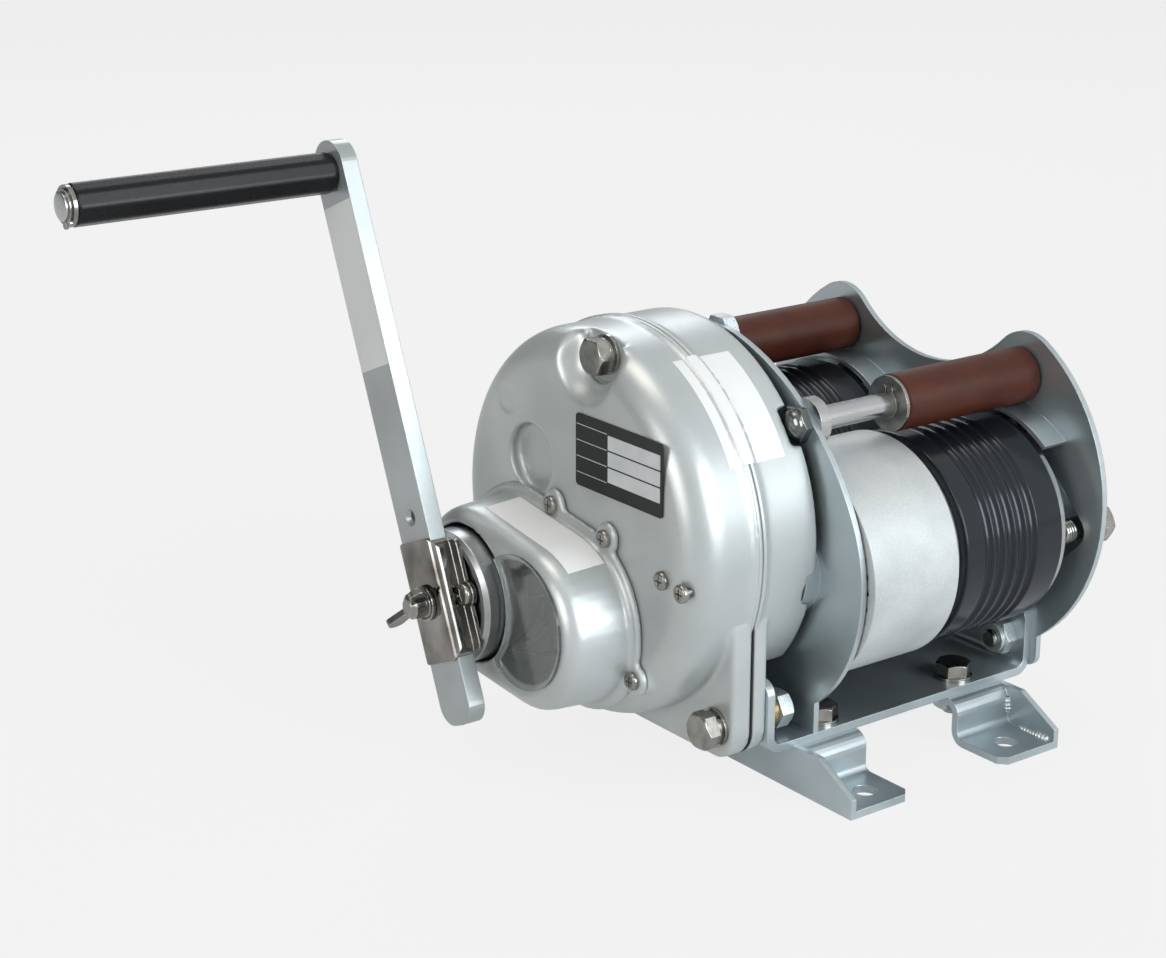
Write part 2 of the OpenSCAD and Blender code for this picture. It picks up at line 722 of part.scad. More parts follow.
// A spring washer is a split ring
module spring_washer() {
    difference() {
        ring_solid(bolt_r, bolt_r + 3.6, spring_t);
        rotate([0, 0, 35]) translate([0, -0.5, -1]) cube([20, 1, spring_t + 2]);
    }
}
module spring_washers() {
    color(steel) {
        both_y() facing_left(lug_seat - washer_t, [lug_y, lug_z]) spring_washer();
        facing_left(top_floor_x - washer_t, [0, top_bolt_z]) spring_washer();
    }
}
module hex_nuts() {
    color(steel) {
        for (x = [-1, 1], y = [-1, 1])
            translate([x * floor_bolt_x, y * floor_bolt_y, foot_height - foot_thickness])
                rotate([180, 0, 0]) hex_nut(bolt_r, bolt_flats, nut_t);
        both_y() facing_right(channel_thickness - end_x + spacer_length, [lug_y, lug_z])
            hex_nut(bolt_r, bolt_flats, nut_t);
        facing_right(plate_face, [0, top_bolt_z]) hex_nut(bolt_r, bolt_flats, nut_t);
        both_y() facing_right(end_x + plate_thickness, [roller_spacing / 2, roller_z])
            hex_nut(bolt_r, bolt_flats, nut_t);
    }
}
module lock_nuts() {
    height = bolt_diameter - 0.5;
    color(steel) both_y() facing_left(end_x - channel_thickness, [plate_bolt_y, plate_bolt_z])
        difference() {
            union() {
                hex_head(bolt_flats, height - 2.5);
                cylinder(h = height, r = bolt_r + 2.6);
            }
            translate([0, 0, -1]) cylinder(h = height + 2, r = bolt_r);
        }
}
module lug_spacers() {
    color(steel) both_y() facing_right(channel_thickness - end_x, [lug_y, lug_z])
        ring_solid(bolt_r + hole_gap, bolt_r + 2.4, spacer_length);
}

// Outline of the skirt that carries the two lugs
module skirt() {
    w = skirt_half_width;
    r = skirt_corner_radius;
    polygon(concat([[-w, 95]], arc([r - w, skirt_bottom + r], r, 180, 270, 8),
                   arc([w - r, skirt_bottom + r], r, 270, 360, 8), [[w, 95]]));
}
module case_disc(r) {
    translate([case_y, case_z]) circle(r);
}
function cover_outline(inset) =
    belt(crank_axis, cover_crank_radius - inset, lobe, cover_lobe_radius - inset);
module cover_flange() {
    polygon(cover_outline(0));
    for (p = cover_screws) translate(p) circle(8);
}
module top_column(a, b, r) {
    rod(a, b, [0, top_bolt_z], r);
}

module gear_case_front() {
    inner_r = case_radius - case_wall;
    round_r = case_rim_radius;
    middle_r = case_radius - round_r;
    round_x = case_front + round_r;
    shell = concat([[0, case_front]], arc([middle_r, round_x], round_r, -90, 0, 8),
                   [[case_radius, front_half_x - 3], [case_radius + 1.5, front_half_x - 2.5],
                    [case_radius + 1.5, front_half_x], [inner_r, front_half_x]],
                   arc([middle_r, round_x], round_r - case_wall, 0, -90, 8), [[0, case_inner]]);
    color(paint) difference() {
        union() {
            turned([case_y, case_z]) polygon(shell);
            difference() {
                union() {
                    across(lug_seat, front_half_x) skirt();
                    across(case_front, case_front + 28) cover_flange();
                }
                rod(case_inner, front_half_x + 1, [case_y, case_z], inner_r - 2);
            }
            for (p = [crank_axis, middle_axis])
                rod(case_inner - 1, front_boss_end, p, case_bearing_r + boss_wall);
            rod(case_inner - 1, case_inner + recess_depth, recess_at, recess_r + case_wall);
            intersection() {
                union() {
                    top_column(case_front + 8, front_half_x, top_boss_r + 4);
                    rod(case_front + 8, front_half_x, [lug_y, lug_z], washer_r + 3);
                }
                rod(case_front, front_half_x, [case_y, case_z], case_radius);
            }
        }
        rod(case_front - 1, lug_seat, [lug_y, lug_z], washer_r + 0.3);
        for (p = [crank_axis, middle_axis]) rod(front_bearing_x, front_boss_end + 1, p, case_bearing_r);
        rod(case_front - 1, front_bearing_x + 1, crank_axis, shaft_r + 4);
        rod(case_front - 1, case_front + recess_depth, recess_at, recess_r);
        rod(case_front - 1, case_front + nameplate_t, mark_at, mark_r);
        across(case_front - 1, top_floor_x) {
            translate([0, top_bolt_z]) circle(top_boss_r);
            translate([-top_boss_r, top_bolt_z]) square([2 * top_boss_r, 40]);
        }
        top_column(case_front, front_half_x + 1, bolt_r + hole_gap);
        both_y() rod(lug_seat - 1, front_half_x + 1, [lug_y, lug_z], bolt_r + hole_gap);
        for (p = concat(cover_screws, wall_screws)) rod(case_front - 1, case_front + 10, p, screw_r);
        for (k = [0, 1]) rod(case_front - 1, case_front + 4, pawl_pivot(k), pawl_pin_r);
    }
}

// Lip of the rear half, which runs past its back wall and is cut away round its neighbours
module rear_lip() {
    end = case_back + rear_lip_length;
    difference() {
        intersection() {
            turned([case_y, case_z])
                polygon(concat([[case_radius - case_wall, case_back - 6], [case_radius, case_back - 6]],
                               arc([case_radius - 2, end - 2], 2, 0, 90, 6),
                               [[case_radius - case_wall, end]]));
            translate([case_back - 7, -150, shelf_z]) cube([20, 320, 240]);
        }
        for (p = [front_axis, rear_axis])
            rod(case_back, end + 1, p, drum_bearing_r + bearing_seat_wall + face_gap);
        for (p = [front_rod_at, rear_rod_at])
            rod(case_back, end + 1, p, bolt_flats / 2 / cos(30) + face_gap);
    }
}

module gear_case_rear() {
    inner_r = case_radius - case_wall;
    back_wall = case_back - 4;
    color(paint) difference() {
        union() {
            difference() {
                union() {
                    across(rear_half_x, -end_x) union() {
                        skirt();
                        case_disc(case_radius);
                    }
                    rod(rear_half_x, rear_half_x + 2.5, [case_y, case_z], case_radius + 1.5);
                    intersection() {
                        turned([case_y, case_z])
                            polygon(concat([[0, rear_half_x], [case_radius, rear_half_x]],
                                           arc([case_radius - 5, case_back - 5], 5, 0, 90, 6),
                                           [[0, case_back]]));
                        translate([rear_half_x - 1, -150, shelf_z]) cube([60, 320, 240]);
                    }
                }
                intersection() {
                    rod(rear_half_x - 1, back_wall, [case_y, case_z], inner_r);
                    translate([rear_half_x - 2, -150, shelf_z + 4]) cube([60, 320, 240]);
                }
            }
            for (p = [front_out, rear_out, middle_axis, crank_axis])
                rod(rear_boss_x, case_back, p, case_bearing_r + boss_wall);
            intersection() {
                top_column(rear_half_x, case_back, top_boss_r);
                rod(rear_half_x, case_back, [case_y, case_z], case_radius);
            }
            rear_lip();
            top_column(case_back - 1, plate_x, 7.2);
        }
        for (p = [front_out, rear_out]) {
            rod(rear_boss_x - 1, rear_bearing_end, p, case_bearing_r);
            rod(rear_boss_x, case_back + 1, p, shaft_r + 3);
        }
        for (p = [middle_axis, crank_axis])
            rod(rear_boss_x - 1, rear_bearing_end - 2, p, case_bearing_r);
        top_column(rear_half_x - 1, plate_x + 1, bolt_r + hole_gap);
        both_y() rod(rear_half_x - 1, 1 - end_x, [lug_y, lug_z], bolt_r + hole_gap);
    }
}

module case_gasket() {
    color(black) difference() {
        across(front_half_x, rear_half_x) union() {
            skirt();
            case_disc(case_radius);
        }
        intersection() {
            rod(front_half_x - 1, rear_half_x + 1, [case_y, case_z], case_radius - case_wall);
            translate([front_half_x - 2, -150, shelf_z + 4]) cube([60, 320, 240]);
        }
        top_column(front_half_x - 1, rear_half_x + 1, bolt_r + hole_gap);
        both_y() rod(front_half_x - 1, rear_half_x + 1, [lug_y, lug_z], bolt_r + hole_gap);
    }
}

module nameplate() {
    color(black) across(case_front - nameplate_t, case_front)
        polygon(round_box(nameplate_at[0], nameplate_at[1], nameplate_width, nameplate_height, 2));
}
module pan_screws() {
    color(steel) {
        for (p = wall_screws) facing_left(case_front, p) pan_screw(screw_r, screw_head_r, 8);
        for (p = cover_screws)
            facing_left(case_front - cover_flange_thickness, p)
                pan_screw(screw_r, screw_head_r, 12);
    }
}

// The cover's body: its wall drawn in to the front and rounded over
module cover_body(inset, front) {
    edge = max(1, cover_edge_radius - inset + cover_flange_width);
    hull() {
        across(case_front - 0.5, case_front) polygon(cover_outline(inset));
        for (a = [0:22.5:90])
            across(front + edge * (1 - sin(a)), front + edge * (1 - sin(a)) + 0.1)
                polygon(cover_outline(inset + 2 + edge * (1 - cos(a))));
    }
}
module window_shape(shrink) {
    difference() {
        translate(lobe + [0, window_rise]) circle(window_radius - shrink);
        translate(crank_axis) circle(hub_bore + 1.5 + shrink);
    }
}
module brake_cover() {
    color(paint) difference() {
        union() {
            across(case_front - cover_flange_thickness, case_front) cover_flange();
            cover_body(cover_flange_width, cover_front);
        }
        translate([0.01, 0, 0]) cover_body(cover_flange_width + cover_wall, cover_front + cover_wall);
        rod(cover_front - 1, cover_front + 8, crank_axis, hub_bore);
        across(cover_front - 1, cover_front + 8) window_shape(3);
        for (p = cover_screws)
            rod(case_front - cover_flange_thickness - 1, case_front + 1, p, screw_r + 0.2);
    }
}
module cover_window() {
    color("#707478") across(cover_front - 1.6, cover_front) window_shape(0);
}

// Housing with a square flange outside the plate and a round seat inside
module bearing_housings() {
    color(zinc) for (p = [front_axis, rear_axis]) difference() {
        union() {
            across(pocket_back, pocket_back + housing_flange)
                polygon(pocket_outline(p, pocket_corner_radius));
            rod(housing_x, pocket_back + 1, p, housing_r);
            turned(p) polygon([[0, pocket_back], [housing_r, pocket_back],
                               [housing_r - 2, pocket_back + 7], [0, pocket_back + 7]]);
        }
        rod(housing_x - 1, right_bearing_x + drum_bearing_w, p, drum_bearing_r);
        rod(housing_x, pocket_back + 1, p, axle_r + 2.5);
        for (q = [0:3])
            rod(pocket_back - 1, pocket_back + housing_flange + 1,
                turned_point(p, pocket_reach, 90 * q), housing_bolt_r + hole_gap);
    }
}
// Housing bolts: the lowest of each four ends short of the channel's upstand
module housing_bolts() {
    seat = pocket_back + housing_flange;
    color(steel) for (p = [front_axis, rear_axis], q = [0:3])
        facing_right(seat, turned_point(p, pocket_reach, 90 * q)) {
            cylinder(h = housing_washer_t, r = housing_bolt_r + 4);
            translate([0, 0, housing_washer_t])
                hex_bolt(housing_bolt_r, housing_bolt_flats, bolt_head,
                         housing_washer_t + seat - end_x + (q == 3 ? -0.5 : 8));
        }
}

// A ball bearing as one ring with the groove of its seal on both faces
module bearing(bore, outer, width) {
    middle = (bore + outer) / 2;
    difference() {
        ring_solid(bore, outer, width);
        for (z = [-1, width - 0.6]) translate([0, 0, z]) ring_solid(middle - 2, middle + 2, 1.6);
    }
}
module drum_bearings() {
    color(steel) for (p = [front_axis, rear_axis]) {
        facing_right(plate_x - drum_bearing_w, p)
            bearing(axle_r + fit_gap, drum_bearing_r, drum_bearing_w);
        facing_right(right_bearing_x, p) bearing(axle_r + fit_gap, drum_bearing_r, drum_bearing_w);
    }
}
module case_bearings() {
    bore = shaft_r + fit_gap;
    color(steel) {
        for (p = [front_out, rear_out], k = [1, 2])
            facing_right(rear_bearing_end - k * case_bearing_w, p)
                bearing(bore, case_bearing_r, case_bearing_w);
        for (p = [middle_axis, crank_axis], x = [front_bearing_x, rear_bearing_end - 2 - case_bearing_w])
            facing_right(x, p) bearing(bore, case_bearing_r, case_bearing_w);
    }
}

front_rod_at = [-roller_spacing / 2, roller_z];
rear_rod_at = [roller_spacing / 2, roller_z];
rod_r = rod_diameter / 2;
roller_end = end_x - roller_end_gap;
front_roller_x = roller_end - front_roller_length;
rear_roller_x = plate_face + rod_collar_length + 1;
roller_washer_t = 1.8;
ring_groove_x = front_roller_x - face_gap - roller_washer_t - 1.2;
module tie_rod(p) {
    rod(plate_x - 7, end_x + plate_thickness + nut_t + 2, p, bolt_r);
    rod(plate_face, end_x, p, rod_r);
    rod(plate_face, plate_face + rod_collar_length, p, rod_collar_radius);
}
module front_tie_rod() {
    color(steel) difference() {
        tie_rod(front_rod_at);
        facing_right(ring_groove_x, front_rod_at) ring_solid(rod_r - 0.8, rod_r + 1, 1.2);
    }
}
module rear_tie_rod() {
    color(steel) tie_rod(rear_rod_at);
}
// Domed nut with a blind hole
module cap_nuts() {
    height = drum_bearing_w;
    color(steel) for (p = [front_rod_at, rear_rod_at]) facing_left(plate_x, p) difference() {
        union() {
            hex_head(bolt_flats, height - 4);
            translate([0, 0, height - 4]) rotate_extrude()
                polygon(concat([[0, 0]], [for (a = [0:15:90]) [(bolt_r + 2.6) * cos(a), 4 * sin(a)]]));
        }
        translate([0, 0, -1]) cylinder(h = 8, r = bolt_r);
    }
}
// Retaining ring with two ears
module snap_ring(r, width) {
    difference() {
        union() {
            cylinder(h = width, r = r + 2.2);
            for (y = [-1, 1]) translate([-r - 2.4, y * 2.4, 0]) cylinder(h = width, r = 1.9);
        }
        translate([0, 0, -1]) cylinder(h = width + 2, r = r);
        translate([-r - 6, -0.6, -1]) cube([r, 1.2, width + 2]);
    }
}
module rod_ring() {
    color(steel) facing_right(ring_groove_x, front_rod_at) snap_ring(rod_r - 0.8, 1.2);
}
module roller_washer() {
    color(steel) facing_right(ring_groove_x + 1.2, front_rod_at)
        ring_solid(rod_r, roller_diameter / 2 - 0.5, roller_washer_t);
}
module roller(a, p) {
    r = roller_diameter / 2;
    turned(p) polygon([
        [rod_r + fit_gap, a], [r - 1, a], [r, a + 1], [r, roller_end - 1], [r - 1, roller_end],
        [rod_r + fit_gap, roller_end]
    ]);
}
module front_roller() {
    color(brown) roller(front_roller_x, front_rod_at);
}
module rear_roller() {
    color(brown) roller(rear_roller_x, rear_rod_at);
}

// Drum casting: toothed barrel, two webs with round openings and a core
module drum(p) {
    web_x = barrel_x + ring_depth;
    right_web = sleeve_end - 10;
    difference() {
        turned(p) {
            band(barrel_r - 11, barrel_r, barrel_x, web_x);
            band(axle_r, barrel_r, web_x, web_x + web);
            band(axle_r, hub_r, web_x, web_x + 20);
            band(barrel_r - 6.5, barrel_r, web_x, barrel_end);
            band(core_r - 6, barrel_r - 1, barrel_end - 6, barrel_end);
            band(core_r - 6, core_r, barrel_end - 6, sleeve_end);
            band(axle_r, core_r, right_web, right_web + web);
            band(axle_r, hub_r, right_web - 10, sleeve_end);
        }
        translate([barrel_x - 1, p[0], p[1]]) rotate([90, 0, 90]) linear_extrude(ring_depth + 1)
            polygon(gear_outline(ring_teeth, ring_module, ring_module * 1.2, ring_module * 0.85,
                                 -flank_slack, 0));
        for (q = [0:3], x = [web_x, right_web])
            rod(x - 1, x + web + 1, turned_point(p, 32, 45 + 90 * q), 8);
    }
}
module front_drum() {
    color("#d5d8d8") drum(front_axis);
}
module rear_drum() {
    color("#d5d8d8") drum(rear_axis);
}

// Sleeve with round rope grooves, each a row of points along an arc
module sleeve(p) {
    grooves = [for (k = [groove_count - 1:-1:0], a = [-90:22.5:90])
        [sleeve_r + 0.4 - groove_radius * cos(a),
         sleeve_x + groove_start + groove_pitch * (k + 0.5) - groove_radius * sin(a)]];
    turned(p) polygon(concat(
        [[core_r, sleeve_x], [sleeve_r - 1, sleeve_x], [sleeve_r, sleeve_x + 1]],
        [for (i = [len(grooves) - 1:-1:0]) [min(sleeve_r, grooves[i][0]), grooves[i][1]]],
        [[sleeve_r, sleeve_end - 1], [sleeve_r - 1, sleeve_end], [core_r, sleeve_end]]));
}
module front_sleeve() {
    color(slate) sleeve(front_axis);
}
module rear_sleeve() {
    color(slate) sleeve(rear_axis);
}
module axle(p) {
    left = plate_x - drum_bearing_w + 0.5;
    right = right_bearing_x + drum_bearing_w + 1;
    turned(p) polygon([
        [0, left], [axle_r - 1, left], [axle_r, left + 1], [axle_r, sleeve_end],
        [end_flange_radius, sleeve_end], [end_flange_radius, sleeve_end + end_flange_thickness],
        [axle_r + 3, sleeve_end + end_flange_thickness], [axle_r + 3, right_bearing_x - 1],
        [axle_r, right_bearing_x - 1], [axle_r, right], [0, right]
    ]);
}
module front_axle() {
    color(steel) axle(front_axis);
}
module rear_axle() {
    color(steel) axle(rear_axis);
}

// A toothed wheel along the drums from a, with its teeth turned by an angle
module gear(p, teeth, size, a, width, turn) {
    translate([a, p[0], p[1]]) rotate([90, 0, 90]) linear_extrude(width)
        polygon(gear_outline(teeth, size, size * 0.9, size * 1.2, flank_slack, turn));
}
module input_shaft() {
    right = rear_bearing_end - 2.5;
    color(steel) {
        difference() {
            union() {
                rod(bar_back + 3, right, crank_axis, shaft_r);
                rod(brake_disc_x, brake_disc_x + 6, crank_axis, friction_radius);
                rod(outer_friction_x, brake_disc_x + 1, crank_axis, brake_collar_r - fit_gap);
            }
            rod(hub_front - 1, hub_front + 2, crank_axis, 3);
        }
        gear(crank_axis, input_teeth, case_module, first_stage_x, first_stage_w, input_turn);
    }
}
module middle_shaft() {
    color(steel) {
        rod(front_bearing_x + 0.5, rear_bearing_end - 2.5, middle_axis, shaft_r);
        gear(middle_axis, middle_pinion_teeth, case_module, second_stage_x, second_stage_w,
             middle_pinion_turn);
    }
}
module middle_gear() {
    color(steel) difference() {
        gear(middle_axis, middle_teeth, case_module, first_stage_x, first_stage_w, 0);
        rod(first_stage_x - 1, first_stage_x + first_stage_w + 1, middle_axis, shaft_r);
        for (q = [0:4])
            rod(first_stage_x - 1, first_stage_x + first_stage_w + 1,
                turned_point(middle_axis, 21, 72 * q), 6);
    }
}
module output_gear(p, turn) {
    difference() {
        gear(p, output_teeth, case_module, second_stage_x, second_stage_w, turn);
        rod(second_stage_x - 1, second_stage_x + second_stage_w + 1, p, shaft_r);
    }
}
module front_output_gear() {
    color(steel) output_gear(front_out, 0);
}
module rear_output_gear() {
    color(steel) output_gear(rear_out, rear_gear_turn);
}
module output_shaft(p, turn) {
    rod(second_stage_x, drum_pinion_x + drum_pinion_w, p, shaft_r);
    gear(p, drum_pinion_teeth, ring_module, drum_pinion_x, drum_pinion_w, turn);
}
module front_output_shaft() {
    color(steel) output_shaft(front_out, front_out_turn);
}
module rear_output_shaft() {
    color(steel) output_shaft(rear_out, rear_out_turn);
}

module friction_discs() {
    color("#6b5a4a") for (x = [inner_friction_x, outer_friction_x])
        facing_right(x, crank_axis) ring_solid(brake_collar_r, friction_radius, disc_t);
}
// Ratchet wheel: each tooth rises in one step and falls away along a slope
module ratchet_wheel() {
    root = ratchet_radius - tooth_depth;
    teeth = [for (k = [0:ratchet_teeth - 1], r = [root, ratchet_radius])
        turned_point(crank_axis, r, pawl_angle + tooth_lead + ratchet_step * k)];
    color(steel) difference() {
        across(ratchet_x, ratchet_x + ratchet_t) polygon(teeth);
        rod(ratchet_x - 1, ratchet_x + ratchet_t + 1, crank_axis, brake_collar_r);
    }
}
// Places of the two pawls, three teeth apart
function pawl_pivot(k) =
    turned_point(crank_axis, pawl_pivot_r, pawl_angle - pawl_lead + k * 3 * ratchet_step);
module pawl(k) {
    tip_angle = pawl_angle + k * 3 * ratchet_step;
    pivot = pawl_pivot(k);
    low = turned_point(crank_axis, ratchet_radius - tooth_depth + 1, tip_angle);
    high = turned_point(crank_axis, ratchet_radius + 3.5, tip_angle);
    way = atan2(low[1] - pivot[1], low[0] - pivot[0]);
    difference() {
        union() {
            rod(ratchet_x, ratchet_x + ratchet_t, pivot, pawl_boss_r);
            across(ratchet_x, ratchet_x + ratchet_t)
                polygon([low, high, turned_point(pivot, pawl_boss_r - 0.5, way - 90),
                         turned_point(pivot, pawl_boss_r - 2, way + 90)]);
        }
        rod(ratchet_x - 1, ratchet_x + ratchet_t + 1, pivot, pawl_pin_r + fit_gap);
    }
}
module upper_pawl() {
    color(steel) pawl(0);
}
module lower_pawl() {
    color(steel) pawl(1);
}
spring_x = ratchet_x + ratchet_t + face_gap;
module pawl_pins() {
    color(steel) for (k = [0, 1]) {
        rod(ratchet_x - face_gap - 2, case_front + 4, pawl_pivot(k), pawl_pin_r);
        rod(spring_x + 5, case_front, pawl_pivot(k), pawl_pin_r + 1.5);
        rod(ratchet_x - face_gap - 2, ratchet_x - face_gap, pawl_pivot(k), pawl_pin_r + 1.5);
    }
}
// Leg springs as close coils round the pins, each with one straight leg
module pawl_springs() {
    color(black) for (k = [0, 1]) {
        facing_right(spring_x, pawl_pivot(k)) ring_solid(pawl_pin_r, pawl_pin_r + 2, 5);
        translate([spring_x + 4, pawl_pivot(k)[0], pawl_pivot(k)[1]])
            rotate([180 * k, 0, 0]) translate([0, -pawl_pin_r - 1, 0]) rotate([180, 0, 0])
                cylinder(h = 11, r = 0.6);
    }
}

// Crank hub: a thick disc with a turned recess and a pad that carries the bar
module crank_hub() {
    inner = outer_friction_x;
    color(zinc) difference() {
        union() {
            turned(crank_axis) polygon([
                [0, inner], [friction_radius, inner], [friction_radius, cover_front + 4],
                [hub_radius, cover_front + 3], [hub_radius, hub_front + 2],
                [hub_radius - 2, hub_front], [hub_radius - 5, hub_front],
                [hub_radius - 6, hub_front + 1.5], [0, hub_front + 1.5]
            ]);
            at_crank() translate([bar_back + fit_gap, -crank_width / 2, -22])
                cube([hub_front - bar_back + 2, crank_width, 44]);
        }
        rod(inner - 50, inner + 1, crank_axis, shaft_r);
        at_crank() for (y = [-1, 1])
            rod(hub_front - 1, hub_front + 12, [y * hub_screw_y, 0], hub_screw_r);
    }
}
module hub_screws() {
    color(steel) at_crank() for (y = [-1, 1])
        facing_left(hub_front + 1.5 - clamp_sheet - 1.5, [y * hub_screw_y, 0])
            pan_screw(hub_screw_r, hub_screw_head, clamp_sheet + 10);
}
// Clamp: a sheet bent over the bar, with a flange along both sides and an ear at each screw
module clamp_bracket() {
    side = crank_width / 2 + fit_gap;
    wall = side + clamp_sheet;
    half = clamp_length / 2;
    bend = clamp_front + clamp_bend;
    over = concat([[hub_front, -wall]], arc([bend, clamp_bend - wall], clamp_bend, 270, 180, 6),
                  arc([bend, wall - clamp_bend], clamp_bend, 180, 90, 6), [[hub_front, wall]]);
    color(steel) at_crank() difference() {
        union() {
            intersection() {
                translate([0, 0, -half]) linear_extrude(clamp_length) polygon(over);
                across(clamp_front - 1, hub_front + 1)
                    polygon(round_box(-wall, -half, 2 * wall, clamp_length, clamp_corner));
            }
            across(hub_front - clamp_sheet, hub_front)
                polygon(round_box(-wall - clamp_flange, 3 - half, 2 * (wall + clamp_flange),
                                  clamp_length - 6, 3));
            for (y = [-1, 1])
                rod(hub_front - clamp_sheet, hub_front, [y * hub_screw_y, 0], clamp_ear);
        }
        translate([bar_front - fit_gap, -side, -clamp_length])
            cube([hub_front - bar_front + 10, 2 * side, 2 * clamp_length]);
        for (y = [-1, 1]) {
            rod(hub_front - clamp_sheet - 1, hub_front + 1, [y * hub_screw_y, 0], hub_screw_r);
            rod(hub_front - clamp_sheet - screw_room, hub_front - clamp_sheet,
                [y * hub_screw_y, 0], hub_screw_head + 0.4);
        }
        rod(clamp_front - 1, bar_front, [0, 0], 3);
    }
}

module crank_bar() {
    w = crank_width / 2;
    c = bar_corner;
    color(zinc) at_crank() difference() {
        across(bar_front, bar_back)
            polygon(concat(arc([0, crank_radius + crank_head - w], w, 0, 180, 24),
                           arc([c - w, c - crank_tail], c, 180, 270, 8),
                           arc([w - c, c - crank_tail], c, 270, 360, 8)));
        rod(bar_front - 1, bar_back + 1, [0, crank_radius], spindle_diameter / 2);
        rod(bar_front - 1, bar_back + 1, [0, crank_travel], 2.6);
        turned([0, crank_travel])
            polygon([[0, bar_front - 0.01], [4.5, bar_front - 0.01], [2.6, bar_front + 2],
                     [0, bar_front + 2]]);
    }
}
// Wing bolt: round head with two flat wings and a thin collar against the clamp
module wing_bolt() {
    tip = bar_front - fit_gap - 0.25;
    color(steel) at_crank() {
        facing_left(clamp_front - face_gap, [0, 0]) {
            cylinder(h = 1.6, r = 9);
            cylinder(h = 9, r = wing_r);
            translate([0, 0, 9]) cylinder(h = 2, r1 = wing_r, r2 = 4);
            rotate([0, 0, wing_way]) for (side = [0, 180]) rotate([0, 0, side]) rotate([90, 0, 0])
                translate([0, 0, -1.6]) linear_extrude(3.2)
                    polygon(concat([[3, 3]], arc([wing_span - 5, 11], 5, -60, 90, 8), [[3, 10]]));
        }
        rod(clamp_front - face_gap - 1, tip, [0, 0], 3 - fit_gap);
    }
}
module grip_pin() {
    r = spindle_diameter / 2;
    end = grip_x - face_gap - 2 - 1.4;
    color(steel) at_crank() difference() {
        turned([0, crank_radius])
            polygon(concat([for (a = [90:-15:0]) [r * cos(a), end - 1 - pin_dome * sin(a)]],
                           [[r, bar_back], [0, bar_back]]));
        facing_right(end, [0, crank_radius]) ring_solid(r - 0.8, r + 1, 1.4);
    }
}
// Grip: eight soft flats between flat ends
module grip() {
    r = grip_diameter / 2;
    color(black) at_crank() difference() {
        intersection() {
            across(grip_x, grip_x + grip_length) polygon([for (k = [0:7]) each
                arc(turned_point([0, crank_radius], r - 4, 22.5 + 45 * k), 4, 45 * k, 45 * k + 45, 4)]);
            turned([0, crank_radius])
                polygon([[0, grip_x], [r - 1, grip_x], [r + 1, grip_x + 2],
                         [r + 1, grip_x + grip_length - 5], [r - 1, grip_x + grip_length],
                         [0, grip_x + grip_length]]);
        }
        rod(grip_x - 1, grip_x + grip_length + 1, [0, crank_radius], grip_bore);
    }
}
module grip_washer() {
    color(steel) at_crank() facing_left(grip_x - face_gap, [0, crank_radius])
        ring_solid(spindle_diameter / 2, grip_diameter / 2 - 0.5, 2);
}
module grip_ring() {
    color(steel) at_crank() facing_left(grip_x - face_gap - 2, [0, crank_radius])
        snap_ring(spindle_diameter / 2 - 0.8, 1.4);
}

channel_base();
foot_left();
foot_right();
left_side_plate();
right_side_plate();
floor_bolts();
lug_bolts();
top_bolt();
plate_bolts();
flat_washers();
spring_washers();
hex_nuts();
lock_nuts();
lug_spacers();
gear_case_front();
gear_case_rear();
case_gasket();
nameplate();
pan_screws();
brake_cover();
cover_window();
bearing_housings();
housing_bolts();
drum_bearings();
case_bearings();
front_tie_rod();
rear_tie_rod();
cap_nuts();
rod_ring();
roller_washer();
front_roller();
rear_roller();
front_drum();
rear_drum();
front_sleeve();
rear_sleeve();
front_axle();
rear_axle();
input_shaft();
middle_shaft();
middle_gear();
front_output_gear();
rear_output_gear();
front_output_shaft();
rear_output_shaft();
friction_discs();
ratchet_wheel();
upper_pawl();
lower_pawl();
pawl_pins();
pawl_springs();
crank_hub();
hub_screws();
clamp_bracket();
crank_bar();
wing_bolt();
grip_pin();
grip();
grip_washer();
grip_ring();
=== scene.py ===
import json
import math
import bmesh
import bpy
import numpy as np
from mathutils import Euler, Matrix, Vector


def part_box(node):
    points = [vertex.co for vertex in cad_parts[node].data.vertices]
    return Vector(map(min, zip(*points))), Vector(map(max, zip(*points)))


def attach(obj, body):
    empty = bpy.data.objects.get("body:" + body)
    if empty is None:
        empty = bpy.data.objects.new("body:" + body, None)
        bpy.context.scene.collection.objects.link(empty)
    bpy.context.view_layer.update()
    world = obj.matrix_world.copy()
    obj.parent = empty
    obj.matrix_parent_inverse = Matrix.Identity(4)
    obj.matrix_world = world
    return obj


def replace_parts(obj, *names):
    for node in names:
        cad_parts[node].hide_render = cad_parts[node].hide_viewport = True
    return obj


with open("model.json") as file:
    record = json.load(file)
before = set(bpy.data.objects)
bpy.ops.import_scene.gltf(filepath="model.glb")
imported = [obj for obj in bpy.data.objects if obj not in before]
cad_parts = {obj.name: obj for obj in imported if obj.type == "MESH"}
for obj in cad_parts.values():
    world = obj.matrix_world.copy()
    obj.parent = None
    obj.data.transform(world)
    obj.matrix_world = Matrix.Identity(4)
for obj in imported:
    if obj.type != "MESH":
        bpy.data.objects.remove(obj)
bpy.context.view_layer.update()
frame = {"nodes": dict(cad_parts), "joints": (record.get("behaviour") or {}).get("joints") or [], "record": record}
mm = 0.001
nodes = frame["nodes"]


def hexColour(text):  # sRGB hex to the linear colour that the shaders take
    parts = [int(text[i:i + 2], 16) / 255 for i in (1, 3, 5)]
    return tuple(p / 12.92 if p <= 0.04045 else ((p + 0.055) / 1.055) ** 2.4 for p in parts) + (1.0,)


